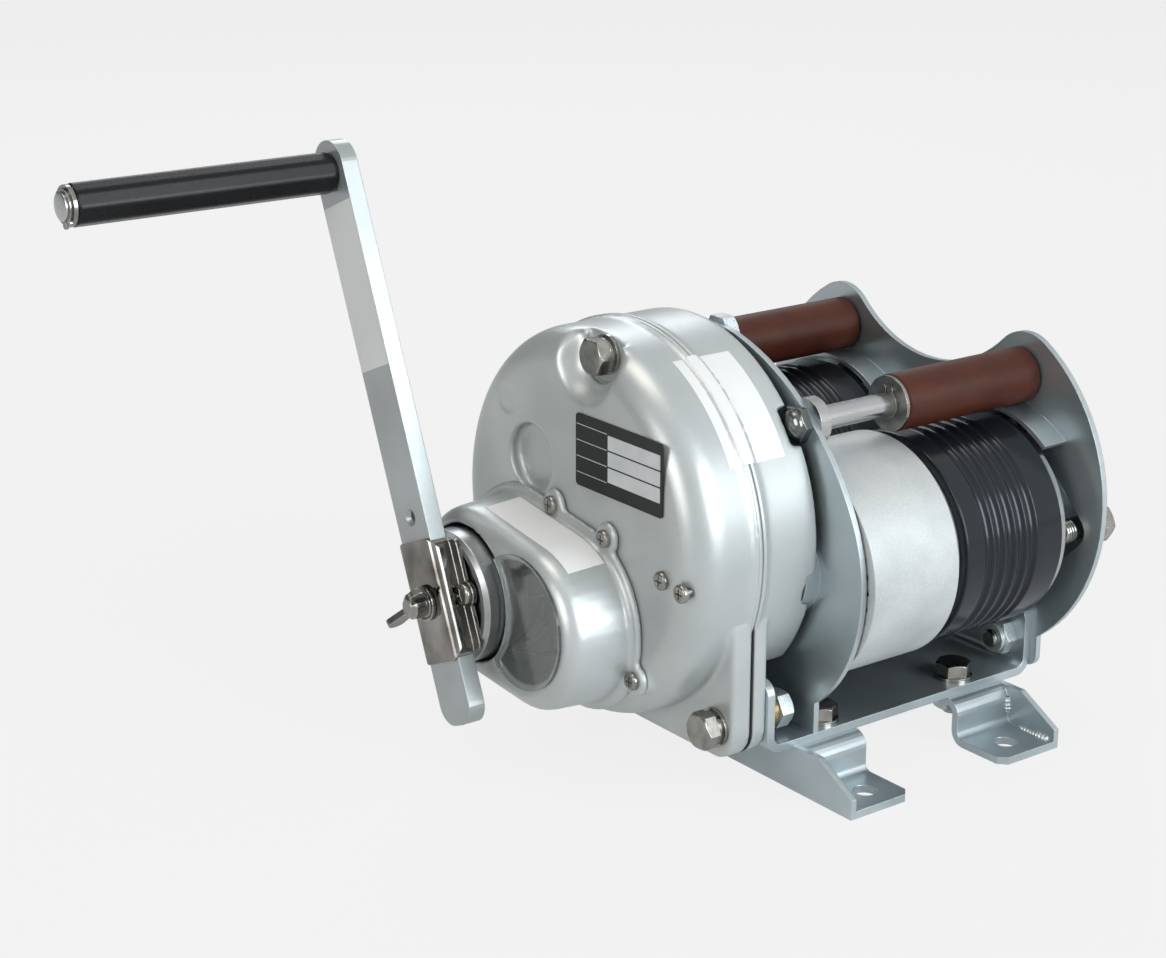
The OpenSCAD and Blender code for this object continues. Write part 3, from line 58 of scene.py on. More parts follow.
def addNode(tree, kind, inputs=None, stops=(), **settings):  # a node, its settings, ramp stops and links
    node = tree.nodes.new(kind)
    while len(stops) > len(node.color_ramp.elements if stops else ()):
        node.color_ramp.elements.new(0.5)
    for k, (place, colour) in enumerate(stops):
        node.color_ramp.elements[k].position, node.color_ramp.elements[k].color = place, hexColour(colour)
    for key, value in settings.items():
        setattr(node, key, value)
    for key, value in (inputs or {}).items():
        if isinstance(value, bpy.types.NodeSocket):
            tree.links.new(value, node.inputs[key])
        else:
            node.inputs[key].default_value = value
    return node


viewOfPhoto = {"place": (-0.80029, -0.89157, 0.51101), "turn": (72.16, 0.0, -36.51), "lens": 73.94}
cameraData = bpy.data.cameras.new("photoCamera")
cameraData.lens = viewOfPhoto["lens"]
cameraData.sensor_width = 36.0
cameraData.clip_start = 0.02
camera = bpy.data.objects.new("photoCamera", cameraData)
camera.location = viewOfPhoto["place"]
camera.rotation_euler = Euler([math.radians(a) for a in viewOfPhoto["turn"]])
bpy.context.scene.collection.objects.link(camera)
bpy.context.scene.camera = camera
bpy.context.scene.view_settings.view_transform = "Standard"

# a pale tent: the wide panel stands to the right, and the light from above and from the left is weaker
studio = {
    "backdrop": "#f4f4f4", "sky": "#f4f7fa", "ambient": 0.26,
    "floor": "#e9e9e9", "floorHalf": 9, "floorPale": 0.92, "glossPale": 0.35,
    # what gloss mirrors: the backdrop's pale tone towards paleSide, falling off to dark cloth away from it
    "paleSide": (0.30, -0.85, 0.30), "fallFrom": -0.7, "fallTo": 0.8,
    "fall": [(0.0, "#7c8082"), (0.3, "#a9adae"), (0.6, "#dcdfe0"), (0.85, "#f2f2f2")],
    # name, place, aim, width, height, watts, colour
    "lamps": [
        ("rightPanel", (0.55, -2.3, 0.95), (0.0, 0.0, 0.12), 1.5, 1.5, 54.0, "#f2faff"),
        ("topPanel", (-0.5, 0.3, 2.5), (0.0, 0.0, 0.12), 1.2, 1.2, 15.0, "#fff4e8"),
        ("leftPanel", (-2.4, -0.5, 0.8), (0.0, 0.0, 0.12), 0.9, 1.2, 19.0, "#fffdf8"),
        ("backPanel", (0.9, 1.9, 1.6), (0.0, 0.0, 0.14), 1.4, 0.9, 15.0, "#f8fbff"),
    ],
}
world = bpy.data.worlds.new("paleStudio")
bpy.context.scene.world = world
world.use_nodes = True
sky = world.node_tree
sky.nodes.clear()
seen = addNode(sky, "ShaderNodeLightPath")
direct = addNode(sky, "ShaderNodeMath", {0: seen.outputs["Is Camera Ray"],
                                         1: seen.outputs["Is Transmission Ray"]},
                 operation="ADD", use_clamp=True)
shown = addNode(sky, "ShaderNodeBackground", {"Color": hexColour(studio["backdrop"]), "Strength": 1.0})
lit = addNode(sky, "ShaderNodeBackground", {"Color": hexColour(studio["sky"]), "Strength": studio["ambient"]})
way = addNode(sky, "ShaderNodeTexCoord")
toRight = addNode(sky, "ShaderNodeVectorMath", {0: way.outputs["Generated"], 1: studio["paleSide"]},
                  operation="DOT_PRODUCT")
side = addNode(sky, "ShaderNodeMapRange", {"Value": toRight.outputs["Value"],
                                           "From Min": studio["fallFrom"], "From Max": studio["fallTo"]})
fall = addNode(sky, "ShaderNodeValToRGB", {"Fac": side.outputs[0]}, stops=studio["fall"])
mirrored = addNode(sky, "ShaderNodeBackground", {"Color": fall.outputs["Color"], "Strength": 1.0})
diffuseOrGloss = addNode(sky, "ShaderNodeMixShader", {0: seen.outputs["Is Glossy Ray"], 1: lit.outputs[0],
                                                      2: mirrored.outputs[0]})
anyRay = addNode(sky, "ShaderNodeMixShader", {0: direct.outputs[0], 1: diffuseOrGloss.outputs[0],
                                              2: shown.outputs[0]})
addNode(sky, "ShaderNodeOutputWorld", {"Surface": anyRay.outputs[0]})

for name, place, aim, width, height, watts, colour in studio["lamps"]:
    lamp = bpy.data.lights.new(name, "AREA")
    lamp.shape = "RECTANGLE"
    lamp.size, lamp.size_y, lamp.energy = width, height, watts
    lamp.color = hexColour(colour)[:3]
    holder = bpy.data.objects.new(name, lamp)
    holder.location = place
    holder.rotation_euler = (Vector(aim) - Vector(place)).to_track_quat("-Z", "Y").to_euler()
    bpy.context.scene.collection.objects.link(holder)


def newMaterial(name):
    material = bpy.data.materials.new(name)
    material.use_nodes = True
    material.node_tree.nodes.clear()
    return material, material.node_tree


# painted plywood floor of a photo table: matt and pale, so that only the shadow shows
floorLook, tree = newMaterial("paleMattFloor")
path = addNode(tree, "ShaderNodeLightPath")
matt = addNode(tree, "ShaderNodeBsdfDiffuse", {"Color": hexColour(studio["floor"])})
pale = addNode(tree, "ShaderNodeEmission", {"Color": hexColour(studio["backdrop"]), "Strength": 1.0})
glossToo = addNode(tree, "ShaderNodeMath", {0: path.outputs["Is Glossy Ray"], 1: studio["glossPale"]},
                   operation="MULTIPLY")
cameraToo = addNode(tree, "ShaderNodeMath", {0: path.outputs["Is Camera Ray"],
                                             1: path.outputs["Is Transmission Ray"]}, operation="MAXIMUM")
mostly = addNode(tree, "ShaderNodeMath", {0: cameraToo.outputs[0], 1: studio["floorPale"],
                                          2: glossToo.outputs[0]}, operation="MULTIPLY_ADD", use_clamp=True)
both = addNode(tree, "ShaderNodeMixShader", {0: mostly.outputs[0], 1: matt.outputs[0], 2: pale.outputs[0]})
addNode(tree, "ShaderNodeOutputMaterial", {"Surface": both.outputs[0]})
floorMesh = bpy.data.meshes.new("floor")
far = studio["floorHalf"]
floorMesh.from_pydata([(-far, -far, 0), (far, -far, 0), (far, far, 0), (-far, far, 0)], [], [(0, 1, 2, 3)])
floor = bpy.data.objects.new("floor", floorMesh)
floorMesh.materials.append(floorLook)
bpy.context.scene.collection.objects.link(floor)
print("stage: camera, lamps and floor are set")


noiseLow, noiseHigh = 0.3, 0.7  # the part of a noise's range where most of its values lie
edgeFlat, edgeRound = 0.99, 0.86  # cosine between true and rounded normal, off an edge and on it


# Colour with slow mottling and fine grain, roughness that follows the grain, the grain as bump, rounded
# edges from the bevel node, and a brighter colour along them: worn bare metal, and also a painted highlight.
def surfaceFinish(name, s):
    material, tree = newMaterial(name)
    place = addNode(tree, "ShaderNodeTexCoord").outputs["Object"]
    stretched = addNode(tree, "ShaderNodeMapping", {"Vector": place, "Scale": s.get("stretch", (1, 1, 1))})
    grain = addNode(tree, "ShaderNodeTexNoise", {"Vector": stretched.outputs[0], "Scale": 1000 / s["grainMm"],
                                                 "Detail": 3.0, "Roughness": 0.6})
    mottle = addNode(tree, "ShaderNodeTexNoise", {"Vector": place, "Scale": 1000 / s["mottleMm"],
                                                  "Detail": 2.0})
    tint = addNode(tree, "ShaderNodeValToRGB", {"Fac": mottle.outputs["Fac"]},
                   stops=[(noiseLow, s["dark"]), (noiseHigh, s["light"])])
    speck = addNode(tree, "ShaderNodeMapRange", {
        "Value": grain.outputs["Fac"], "From Min": noiseLow, "From Max": noiseHigh,
        "To Min": 1 - s["speck"], "To Max": 1 + s["speck"]})
    coloured = addNode(tree, "ShaderNodeMixRGB", {"Fac": 1.0, "Color1": tint.outputs["Color"],
                                                  "Color2": speck.outputs[0]}, blend_type="MULTIPLY")
    rounded = addNode(tree, "ShaderNodeBevel", {"Radius": s.get("edgeMm", 0.5) * mm}, samples=4)
    bump = addNode(tree, "ShaderNodeBump", {"Height": grain.outputs["Fac"], "Strength": s["bump"],
                                            "Distance": s["bumpMm"] * mm, "Normal": rounded.outputs[0]})
    flat = addNode(tree, "ShaderNodeNewGeometry")
    turn = addNode(tree, "ShaderNodeVectorMath", {0: flat.outputs["Normal"], 1: rounded.outputs[0]},
                   operation="DOT_PRODUCT")
    # edges turn towards the brighter colour: worn bare metal, and also a painted highlight
    edge = addNode(tree, "ShaderNodeMapRange", {
        "Value": turn.outputs["Value"], "From Min": edgeFlat, "From Max": edgeRound,
        "To Min": 0.0, "To Max": s.get("wearAndSheen", 0.0)})
    wornAndSheened = addNode(tree, "ShaderNodeMixRGB", {"Fac": edge.outputs[0], "Color1": coloured.outputs[0],
                                              "Color2": hexColour(s.get("bareAndSheen", "#dfe2e3"))})
    rough = addNode(tree, "ShaderNodeMapRange", {
        "Value": grain.outputs["Fac"], "From Min": noiseLow, "From Max": noiseHigh,
        "To Min": s["rough"] - s["roughSpread"], "To Max": s["rough"] + s["roughSpread"]})
    shader = addNode(tree, "ShaderNodeBsdfPrincipled", {
        "Base Color": wornAndSheened.outputs[0], "Metallic": s["metallic"], "Roughness": rough.outputs[0],
        "Normal": bump.outputs[0], "Coat Weight": s.get("coat", 0.0),
        "Coat Roughness": s.get("coatRough", 0.1), "IOR": s.get("ior", 1.5),
        "Specular IOR Level": s.get("specular", 0.5)})
    addNode(tree, "ShaderNodeOutputMaterial", {"Surface": shader.outputs[0]})
    return material


looks = {
    # bright zinc on rolled sheet: bluish grey, satin, faint lengthwise rolling lines
    "zincSheet": {"dark": "#a9b4b8", "light": "#c2ccd0", "mottleMm": 60, "grainMm": 2.4,
                  "stretch": (0.25, 1, 1), "speck": 0.012, "bump": 0.03, "bumpMm": 0.05, "metallic": 0.8,
                  "rough": 0.3, "roughSpread": 0.015, "edgeMm": 0.6, "wearAndSheen": 0.45},
    # silver-grey sprayed paint over a die casting: soft satin, slight orange peel
    "silverCasePaint": {"dark": "#b0b5b5", "light": "#c0c5c5", "mottleMm": 55, "grainMm": 1.6, "speck": 0.02,
                        "bump": 0.22, "bumpMm": 0.08, "metallic": 0.5, "rough": 0.36, "roughSpread": 0.04,
                        "edgeMm": 1.2, "wearAndSheen": 0.15, "bareAndSheen": "#ced2d2", "coat": 0.15, "coatRough": 0.22},
    # turned stainless bolts and washers: warm bright grey with a fine lathe grain
    "turnedStainless": {"dark": "#83827d", "light": "#a6a49e", "mottleMm": 7, "grainMm": 0.5, "speck": 0.05,
                        "bump": 0.12, "bumpMm": 0.03, "metallic": 1.0, "rough": 0.2, "roughSpread": 0.06,
                        "edgeMm": 0.4, "wearAndSheen": 0.45, "bareAndSheen": "#e6e7e7"},
    # drawn bright steel rods: smooth, with a faint slow change of tone
    "drawnSteel": {"dark": "#b4b6b6", "light": "#c0c2c2", "mottleMm": 30, "grainMm": 1.6,
                   "speck": 0.008, "bump": 0.0, "bumpMm": 0.02, "metallic": 1.0,
                   "rough": 0.2, "roughSpread": 0.02, "edgeMm": 0.3, "wearAndSheen": 0.3},
    # hardened gear steel with an oil film: dark grey, smooth
    "oiledGearSteel": {"dark": "#4e4f51", "light": "#6b6c6e", "mottleMm": 12, "grainMm": 0.7, "speck": 0.05,
                       "bump": 0.1, "bumpMm": 0.02, "metallic": 1.0, "rough": 0.28, "roughSpread": 0.06,
                       "edgeMm": 0.3, "wearAndSheen": 0.4, "bareAndSheen": "#a8a9aa"},
    # oiled spring wire: nearly black
    "blackSpringWire": {"dark": "#222326", "light": "#303236", "mottleMm": 6, "grainMm": 0.5, "speck": 0.05,
                        "bump": 0.1, "bumpMm": 0.02, "metallic": 0.8, "rough": 0.35, "roughSpread": 0.05},
    # ground bearing rings: clean, slightly warm steel
    "groundBearingSteel": {"dark": "#8f8b83", "light": "#aaa79f", "mottleMm": 15, "grainMm": 0.6,
                           "speck": 0.04, "bump": 0.08, "bumpMm": 0.02, "metallic": 1.0, "rough": 0.2,
                           "roughSpread": 0.04, "wearAndSheen": 0.4, "bareAndSheen": "#dcdcda"},
    # buffed stainless sheet: mottled dark to light as a painted reflection of its surroundings, faint buffing
    # lines
    "buffedStainless": {"dark": "#4a4845", "light": "#a19f9a", "mottleMm": 26, "grainMm": 0.8,
                        "stretch": (1, 1, 0.1), "speck": 0.03, "bump": 0.05, "bumpMm": 0.02, "metallic": 1.0,
                        "rough": 0.1, "roughSpread": 0.03, "edgeMm": 0.8, "wearAndSheen": 0.6, "bareAndSheen": "#e8e8e6"},
    # dark bright nickel on the domed nuts
    "darkNickel": {"dark": "#5a5e5d", "light": "#747877", "mottleMm": 12, "grainMm": 0.7, "speck": 0.04,
                   "bump": 0.06, "bumpMm": 0.02, "metallic": 1.0, "rough": 0.14, "roughSpread": 0.04,
                   "wearAndSheen": 0.3},
    # yellow-passivated zinc on the small spacers: straw tone with a faint rainbow drift
    "yellowZinc": {"dark": "#a8966a", "light": "#bda97c", "mottleMm": 9, "grainMm": 0.7, "speck": 0.05,
                   "bump": 0.08, "bumpMm": 0.02, "metallic": 0.9, "rough": 0.28, "roughSpread": 0.05,
                   "edgeMm": 0.4, "wearAndSheen": 0.4},
    # turned and oiled steel of the hub: grey satin with bright corners
    "turnedHubSteel": {"dark": "#9a9c9d", "light": "#acaeaf", "mottleMm": 14, "grainMm": 0.7, "speck": 0.02,
                       "bump": 0.03, "bumpMm": 0.03, "metallic": 1.0, "rough": 0.3, "roughSpread": 0.03,
                       "edgeMm": 0.7, "wearAndSheen": 0.6, "bareAndSheen": "#eceeee"},
    # shot-blasted aluminium casting of the drums: pale, matt, fine even grit
    "blastedCasting": {"dark": "#b4b8b8", "light": "#c6c9c8", "mottleMm": 30, "grainMm": 1.1, "speck": 0.08,
                       "bump": 0.5, "bumpMm": 0.18, "metallic": 0.35, "rough": 0.48, "roughSpread": 0.08,
                       "edgeMm": 0.8, "wearAndSheen": 0.25},
    # hard anodised sleeve: dark slate satin, thin pale highlights painted along the ridges
    "slateHardCoat": {"dark": "#1f2328", "light": "#272c32", "mottleMm": 60, "grainMm": 0.9,
                      "speck": 0.01, "bump": 0.0, "bumpMm": 0.04, "metallic": 0.4, "rough": 0.2,
                      "roughSpread": 0.02, "edgeMm": 0.6, "wearAndSheen": 0.5, "bareAndSheen": "#7b838b"},
    # pale silver crank bar: fine satin lacquer over zinc
    "paleSilverLacquer": {"dark": "#9da2a3", "light": "#aab0b1", "mottleMm": 40, "grainMm": 0.9,
                          "speck": 0.03, "bump": 0.12, "bumpMm": 0.04, "metallic": 0.6, "rough": 0.32,
                          "roughSpread": 0.04, "edgeMm": 0.7, "wearAndSheen": 0.35, "coat": 0.1},
    # white-passivated zinc on the larger nuts: bright, bluish, satin
    "whiteZinc": {"dark": "#bcc6ca", "light": "#d6dddf", "mottleMm": 9, "grainMm": 0.7, "speck": 0.03,
                  "bump": 0.05, "bumpMm": 0.02, "metallic": 0.7, "rough": 0.3, "roughSpread": 0.05,
                  "edgeMm": 0.5, "wearAndSheen": 0.4, "bareAndSheen": "#f0f3f4"},
    # zinc over a weld bead: as bright as the nuts, lumpier and rougher
    "zincedWeld": {"dark": "#a9b2b5", "light": "#dde3e5", "mottleMm": 5, "grainMm": 0.9, "speck": 0.08,
                   "bump": 0.4, "bumpMm": 0.12, "metallic": 0.75, "rough": 0.34, "roughSpread": 0.08},
    # phenolic laminate tube: dark red brown, satin, faint wound-paper streaks along its length
    "brownPhenolic": {"dark": "#3f1b0f", "light": "#4d2415", "mottleMm": 18, "grainMm": 1.4,
                      "stretch": (0.12, 1, 1), "speck": 0.05, "bump": 0.06, "bumpMm": 0.05, "metallic": 0.0,
                      "rough": 0.45, "roughSpread": 0.06, "edgeMm": 0.8, "wearAndSheen": 0.2, "bareAndSheen": "#6a4436",
                      "specular": 0.25},
    # black moulded plastic of the grip: satin gloss with a shallow moulding grain
    "glossyBlackPlastic": {"dark": "#090a0c", "light": "#0f1012", "mottleMm": 30, "grainMm": 1.2,
                           "speck": 0.03, "bump": 0.02, "bumpMm": 0.04, "metallic": 0.0, "rough": 0.3,
                           "roughSpread": 0.04, "edgeMm": 1.0, "ior": 1.45, "specular": 0.3},
    # black anodised sheet of the name place
    "blackAnodised": {"dark": "#101114", "light": "#18191c", "mottleMm": 20, "grainMm": 0.8,
                      "speck": 0.05, "bump": 0.08, "bumpMm": 0.02, "metallic": 0.2, "rough": 0.36,
                      "roughSpread": 0.04, "edgeMm": 0.2},
    # nitrile sheet between the case halves
    "blackGasket": {"dark": "#1c1d1f", "light": "#26282a", "mottleMm": 12, "grainMm": 0.8,
                    "speck": 0.06, "bump": 0.2, "bumpMm": 0.05, "metallic": 0.0, "rough": 0.7,
                    "roughSpread": 0.08},
    # pressed brake lining: brown grey, matt and gritty
    "brakeLining": {"dark": "#54453a", "light": "#6d5a4b", "mottleMm": 6, "grainMm": 0.9,
                    "speck": 0.18, "bump": 0.4, "bumpMm": 0.1, "metallic": 0.0, "rough": 0.8,
                    "roughSpread": 0.08},
    # etched aluminium of the cells on the name place: pale, satin
    "etchedAluminium": {"dark": "#c3c7c9", "light": "#d1d5d6", "mottleMm": 15, "grainMm": 0.6,
                        "speck": 0.02, "bump": 0.05, "bumpMm": 0.02, "metallic": 0.3, "rough": 0.45,
                        "roughSpread": 0.03, "edgeMm": 0.1},
    # film of the bar's blank label: pale grey, slightly glossy
    "greyLabelFilm": {"dark": "#c6caca", "light": "#cfd2d2", "mottleMm": 50, "grainMm": 2.0,
                      "speck": 0.01, "bump": 0.05, "bumpMm": 0.03, "metallic": 0.0, "rough": 0.35,
                      "roughSpread": 0.03, "edgeMm": 0.1},
    # blank printed film: white, slightly glossy
    "whiteLabelFilm": {"dark": "#e4e5e5", "light": "#ebecec", "mottleMm": 50, "grainMm": 2.0,
                       "speck": 0.01, "bump": 0.05, "bumpMm": 0.03, "metallic": 0.0, "rough": 0.4,
                       "roughSpread": 0.03, "edgeMm": 0.1},
}
finishes = {name: surfaceFinish(name, settings) for name, settings in looks.items()}

# clear acrylic window with a grey tint: light passes, the brake shows dimly behind it
windowLook = {"tint": "#dde3e2", "hazeMm": 30, "clearest": 0.02, "haziest": 0.08, "ior": 1.49, "clear": 0.95}
clearAcrylic, tree = newMaterial("greyAcrylic")
clearHaze = addNode(tree, "ShaderNodeTexNoise", {"Vector": addNode(tree, "ShaderNodeTexCoord").outputs["Object"],
                                                 "Scale": 1000 / windowLook["hazeMm"]})
clearRough = addNode(tree, "ShaderNodeMapRange", {
    "Value": clearHaze.outputs["Fac"], "To Min": windowLook["clearest"], "To Max": windowLook["haziest"]})
clearShader = addNode(tree, "ShaderNodeBsdfPrincipled", {
    "Base Color": hexColour(windowLook["tint"]), "Roughness": clearRough.outputs[0], "IOR": windowLook["ior"],
    "Transmission Weight": windowLook["clear"]})
addNode(tree, "ShaderNodeOutputMaterial", {"Surface": clearShader.outputs[0]})
finishes["greyAcrylic"] = clearAcrylic

finishOfSlot = {
    "zinc_sheet": "zincSheet", "case_paint": "silverCasePaint", "bolt_steel": "turnedStainless",
    "bright_steel": "drawnSteel", "gear_steel": "oiledGearSteel", "spring_steel": "blackSpringWire",
    "bearing_steel": "groundBearingSteel", "polished_steel": "buffedStainless", "dark_chrome": "darkNickel",
    "drum_casting": "blastedCasting", "sleeve_black": "slateHardCoat", "hub_silver": "paleSilverLacquer",
    "roller_brown": "brownPhenolic", "grip_black": "glossyBlackPlastic", "plate_black": "blackAnodised",
    "gasket_black": "blackGasket", "window_grey": "greyAcrylic", "friction_brown": "brakeLining",
    "yellow_zinc": "yellowZinc", "hub_steel": "turnedHubSteel",
}
finishOfNode = {"hex_nuts": "whiteZinc", "lock_nuts": "whiteZinc"}  # where one node differs from its slot
for part in frame["record"]["subparts"]:
    mesh = nodes[part["node"]].data
    mesh.materials.clear()
    mesh.materials.append(finishes[finishOfNode.get(part["node"], finishOfSlot[part["material_slot"]])])
print("stage: finishes are on the frame's nodes")


# A grid of points, rows along u and columns along v, joined to quads between its neighbours. It closes on
# itself along v, and also along u where that is asked.
def meshFromGrid(name, points, closedU=False):
    rows, columns = points.shape[:2]
    index = np.arange(rows * columns).reshape(rows, columns)
    a = index if closedU else index[:-1]
    b = np.roll(index, -1, 0) if closedU else index[1:]
    quads = np.stack([a, b, np.roll(b, -1, 1), np.roll(a, -1, 1)], -1)
    mesh = bpy.data.meshes.new(name)
    mesh.from_pydata(points.reshape(-1, 3).tolist(), [], quads.reshape(-1, 4).tolist())
    return mesh


# Two grids of the same size, joined round their rim to a thin closed sheet.
def closedSheet(name, front, back):
    rows, columns = front.shape[:2]
    ring = lambda g: np.concatenate([g[0, :], g[1:, -1], g[-1, -2::-1], g[-2:0:-1, 0]])
    top = np.arange(rows * columns).reshape(rows, columns)
    low = top + rows * columns
    quads = [np.stack([top[:-1, :-1], top[1:, :-1], top[1:, 1:], top[:-1, 1:]], -1).reshape(-1, 4),
             np.stack([low[:-1, :-1], low[:-1, 1:], low[1:, 1:], low[1:, :-1]], -1).reshape(-1, 4)]
    a, b = ring(top), ring(low)
    quads.append(np.stack([a, np.roll(a, -1), np.roll(b, -1), b], -1))
    mesh = bpy.data.meshes.new(name)
    mesh.from_pydata(np.concatenate([front.reshape(-1, 3), back.reshape(-1, 3)]).tolist(), [],
                     np.concatenate(quads).tolist())
    return mesh


def mergeDoubles(mesh, turnOut=True):
    work = bmesh.new()
    work.from_mesh(mesh)
    bmesh.ops.remove_doubles(work, verts=work.verts, dist=1e-6)
    if turnOut:
        bmesh.ops.recalc_face_normals(work, faces=work.faces)
    work.to_mesh(mesh)
    work.free()


def addPiece(name, mesh, finish, body="frame"):
    piece = bpy.data.objects.new(name, mesh)
    mesh.materials.append(finishes[finish])
    bpy.context.scene.collection.objects.link(piece)
    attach(piece, body)
    return piece


def addSurface(name, mesh, smooth, finish, body="frame"):  # a worked-out surface, closed and turned out
    mergeDoubles(mesh)
    mesh.polygons.foreach_set("use_smooth", [smooth] * len(mesh.polygons))
    return addPiece(name, mesh, finish, body)


stuckOn = 0.00001  # how far a film's back stands off the face it is stuck to
joints = {j["name"]: j for j in frame["joints"]}

# die castings with their draft and fillets: the frame's solid with sharp corners, made over to small even
# faces, whose points then move towards the middle of their neighbours until corners are round
castings = {"voxelMm": 1.25, "factor": 0.5,
            # node, piece, rounds of smoothing
            "made": [("gear_case_front", "softGearCaseFront", 6), ("gear_case_rear", "softGearCaseRear", 6),
                     ("brake_cover", "softBrakeCover", 3)]}
# pocket of the top bolt in the front half, open to the top
pocket = {"node": "gear_case_front", "axis": (0.0, 0.2145), "radius": 0.014, "shoulder": 0.0105,
          "depth": 0.009, "fade": 0.015}


# The pocket has wide soft shoulders: points near its outline, a half circle open to the top, sink by depth
# times a cosine step of their distance, and less the further they lie behind the casting's face.
def sinkShoulders(mesh, s):
    points = np.empty(len(mesh.vertices) * 3)
    mesh.vertices.foreach_get("co", points)
    points = points.reshape(-1, 3)
    y, z = points[:, 1] - s["axis"][0], points[:, 2] - s["axis"][1]
    away = np.clip((np.hypot(y, np.minimum(z, 0)) - s["radius"]) / s["shoulder"], 0, 1)
    behind = np.clip((points[:, 0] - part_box(s["node"])[0].x) / s["fade"], 0, 1)
    points[:, 0] += s["depth"] * (0.5 + 0.5 * np.cos(math.pi * away)) * (0.5 + 0.5 * np.cos(math.pi * behind))
    mesh.vertices.foreach_set("co", points.reshape(-1))
    mesh.update()


def softCasting(name, node, rounds):
    mesh = nodes[node].data.copy()
    mergeDoubles(mesh, turnOut=False)
    rough = bpy.data.objects.new(name + "Rough", mesh)
    bpy.context.scene.collection.objects.link(rough)
    even = rough.modifiers.new("even", "REMESH")
    even.mode, even.voxel_size, even.use_smooth_shade = "VOXEL", castings["voxelMm"] * mm, True
    soft = rough.modifiers.new("soft", "SMOOTH")
    soft.factor, soft.iterations = castings["factor"], rounds
    bpy.context.view_layer.update()
    made = bpy.data.meshes.new_from_object(rough.evaluated_get(bpy.context.evaluated_depsgraph_get()))
    bpy.data.objects.remove(rough)
    made.name = name
    if node == pocket["node"]:
        sinkShoulders(made, pocket)
    made.materials.clear()
    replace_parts(addPiece(name, made, "silverCasePaint"), node)
    print("  " + name, len(made.polygons), "faces")


for node, name, rounds in castings["made"]:
    softCasting(name, node, rounds)
print("stage: castings are softened")

caseAt = (0.0113, 0.1266)
rimBeads = {"radius": 0.1001, "foot": 0.0975, "round": 0.0009, "arcPoints": 6, "turns": 240,
            "ends": {"frontBead": (-0.1028, -0.10013), "rearBead": (-0.0998, -0.0972)}}


# A raised bead either side of the case's joint: its profile, up, round two corners and down, carried
# round the case's axis.
def beadRing(name, s):
    low, high = s["ends"][name]
    quarter = np.radians(np.linspace(0, 90, s["arcPoints"]))
    inset = s["round"] * (1 - np.cos(quarter))
    drop = s["round"] * (1 - np.sin(quarter))
    x = np.concatenate([[low], low + inset, high - inset[::-1], [high]])
    r = np.concatenate([[s["foot"]], s["radius"] - drop, s["radius"] - drop[::-1], [s["foot"]]])
    turn = np.linspace(0, 2 * math.pi, s["turns"], endpoint=False)[:, None]
    grid = np.stack([x[None, :] + 0 * turn, caseAt[0] + r * np.cos(turn), caseAt[1] + r * np.sin(turn)], -1)
    addSurface(name, meshFromGrid(name, grid, closedU=True), True, "silverCasePaint")


for name in rimBeads["ends"]:
    beadRing(name, rimBeads)

# blank film over the case's rim and its front bead, which is given as middle, height and half width
rimLabel = {"x": (-0.1112, -0.0768), "angles": (116.0, 152.0), "radius": 0.0985, "film": 0.00012,
            "stuckOn": 0.00002, "bead": (-0.1000, 0.0018, 0.0037), "grid": (40, 48)}


# Part of a turned surface about x: angle along one side, x along the other, as a film of two skins. The
# radius rises over the bead as a bell: height times e to the minus distance over half width to the sixth.
def curvedLabel(name, s, centre):
    angle = np.radians(np.linspace(*s["angles"], s["grid"][0]))[:, None]
    x = np.linspace(*s["x"], s["grid"][1])[None, :]
    middle, height, halfWidth = s["bead"]
    bead = height * np.exp(-((x - middle) / halfWidth) ** 6)
    skins = []
    for lift in (s["film"], s["stuckOn"]):
        r = s["radius"] + bead + lift
        skins.append(np.stack([x + 0 * angle, centre[0] + r * np.cos(angle) + 0 * x,
                               centre[1] + r * np.sin(angle) + 0 * x], -1))
    addSurface(name, closedSheet(name, *skins), False, "whiteLabelFilm")


curvedLabel("rimLabel", rimLabel, caseAt)

# Rope sleeve: a profile turned about the drum's axis. Each groove is an arc of a circle that dips under
# the outer radius, a running mean rounds the ridges, and both ends are rounded over.
sleeves = {"grooves": 5, "start": 0.0114, "pitch": 0.0077, "radius": 0.0030, "above": 0.0010, "core": 0.050,
           "round": 0.0010, "stations": 210, "turns": 224}


def groovedSleeve(name, node, s, body):
    low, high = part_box(node)
    centre, outer = ((low.y + high.y) / 2, (low.z + high.z) / 2), (high.y - low.y) / 2
    x = np.linspace(low.x, high.x, s["stations"])
    r = np.full(x.shape, outer)
    for k in range(s["grooves"]):
        away = x - (low.x + s["start"] + s["pitch"] * (k + 0.5))
        dip = outer + s["above"] - np.sqrt(np.maximum(s["radius"] ** 2 - away ** 2, 0))
        r = np.minimum(r, np.where(np.abs(away) < s["radius"], dip, outer))
    r = np.convolve(np.pad(r, 1, mode="edge"), np.ones(3) / 3, "valid")
    inward = 1 - np.minimum(np.minimum(x - low.x, high.x - x) / s["round"], 1)
    r = r - s["round"] * (1 - np.sqrt(1 - inward ** 2))
    x, r = np.concatenate([[low.x], x, [high.x]]), np.concatenate([[s["core"]], r, [s["core"]]])
    turn = np.linspace(0, 2 * math.pi, s["turns"], endpoint=False)[None, :]
    grid = np.stack([x[:, None] + 0 * turn, centre[0] + r[:, None] * np.cos(turn),
                     centre[1] + r[:, None] * np.sin(turn)], -1)
    mesh = meshFromGrid(name, grid, closedU=True)
    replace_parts(addSurface(name, mesh, True, "slateHardCoat", body), node)


groovedSleeve("frontRopeSleeve", "front_sleeve", sleeves, "drum_front")
groovedSleeve("rearRopeSleeve", "rear_sleeve", sleeves, "drum_rear")

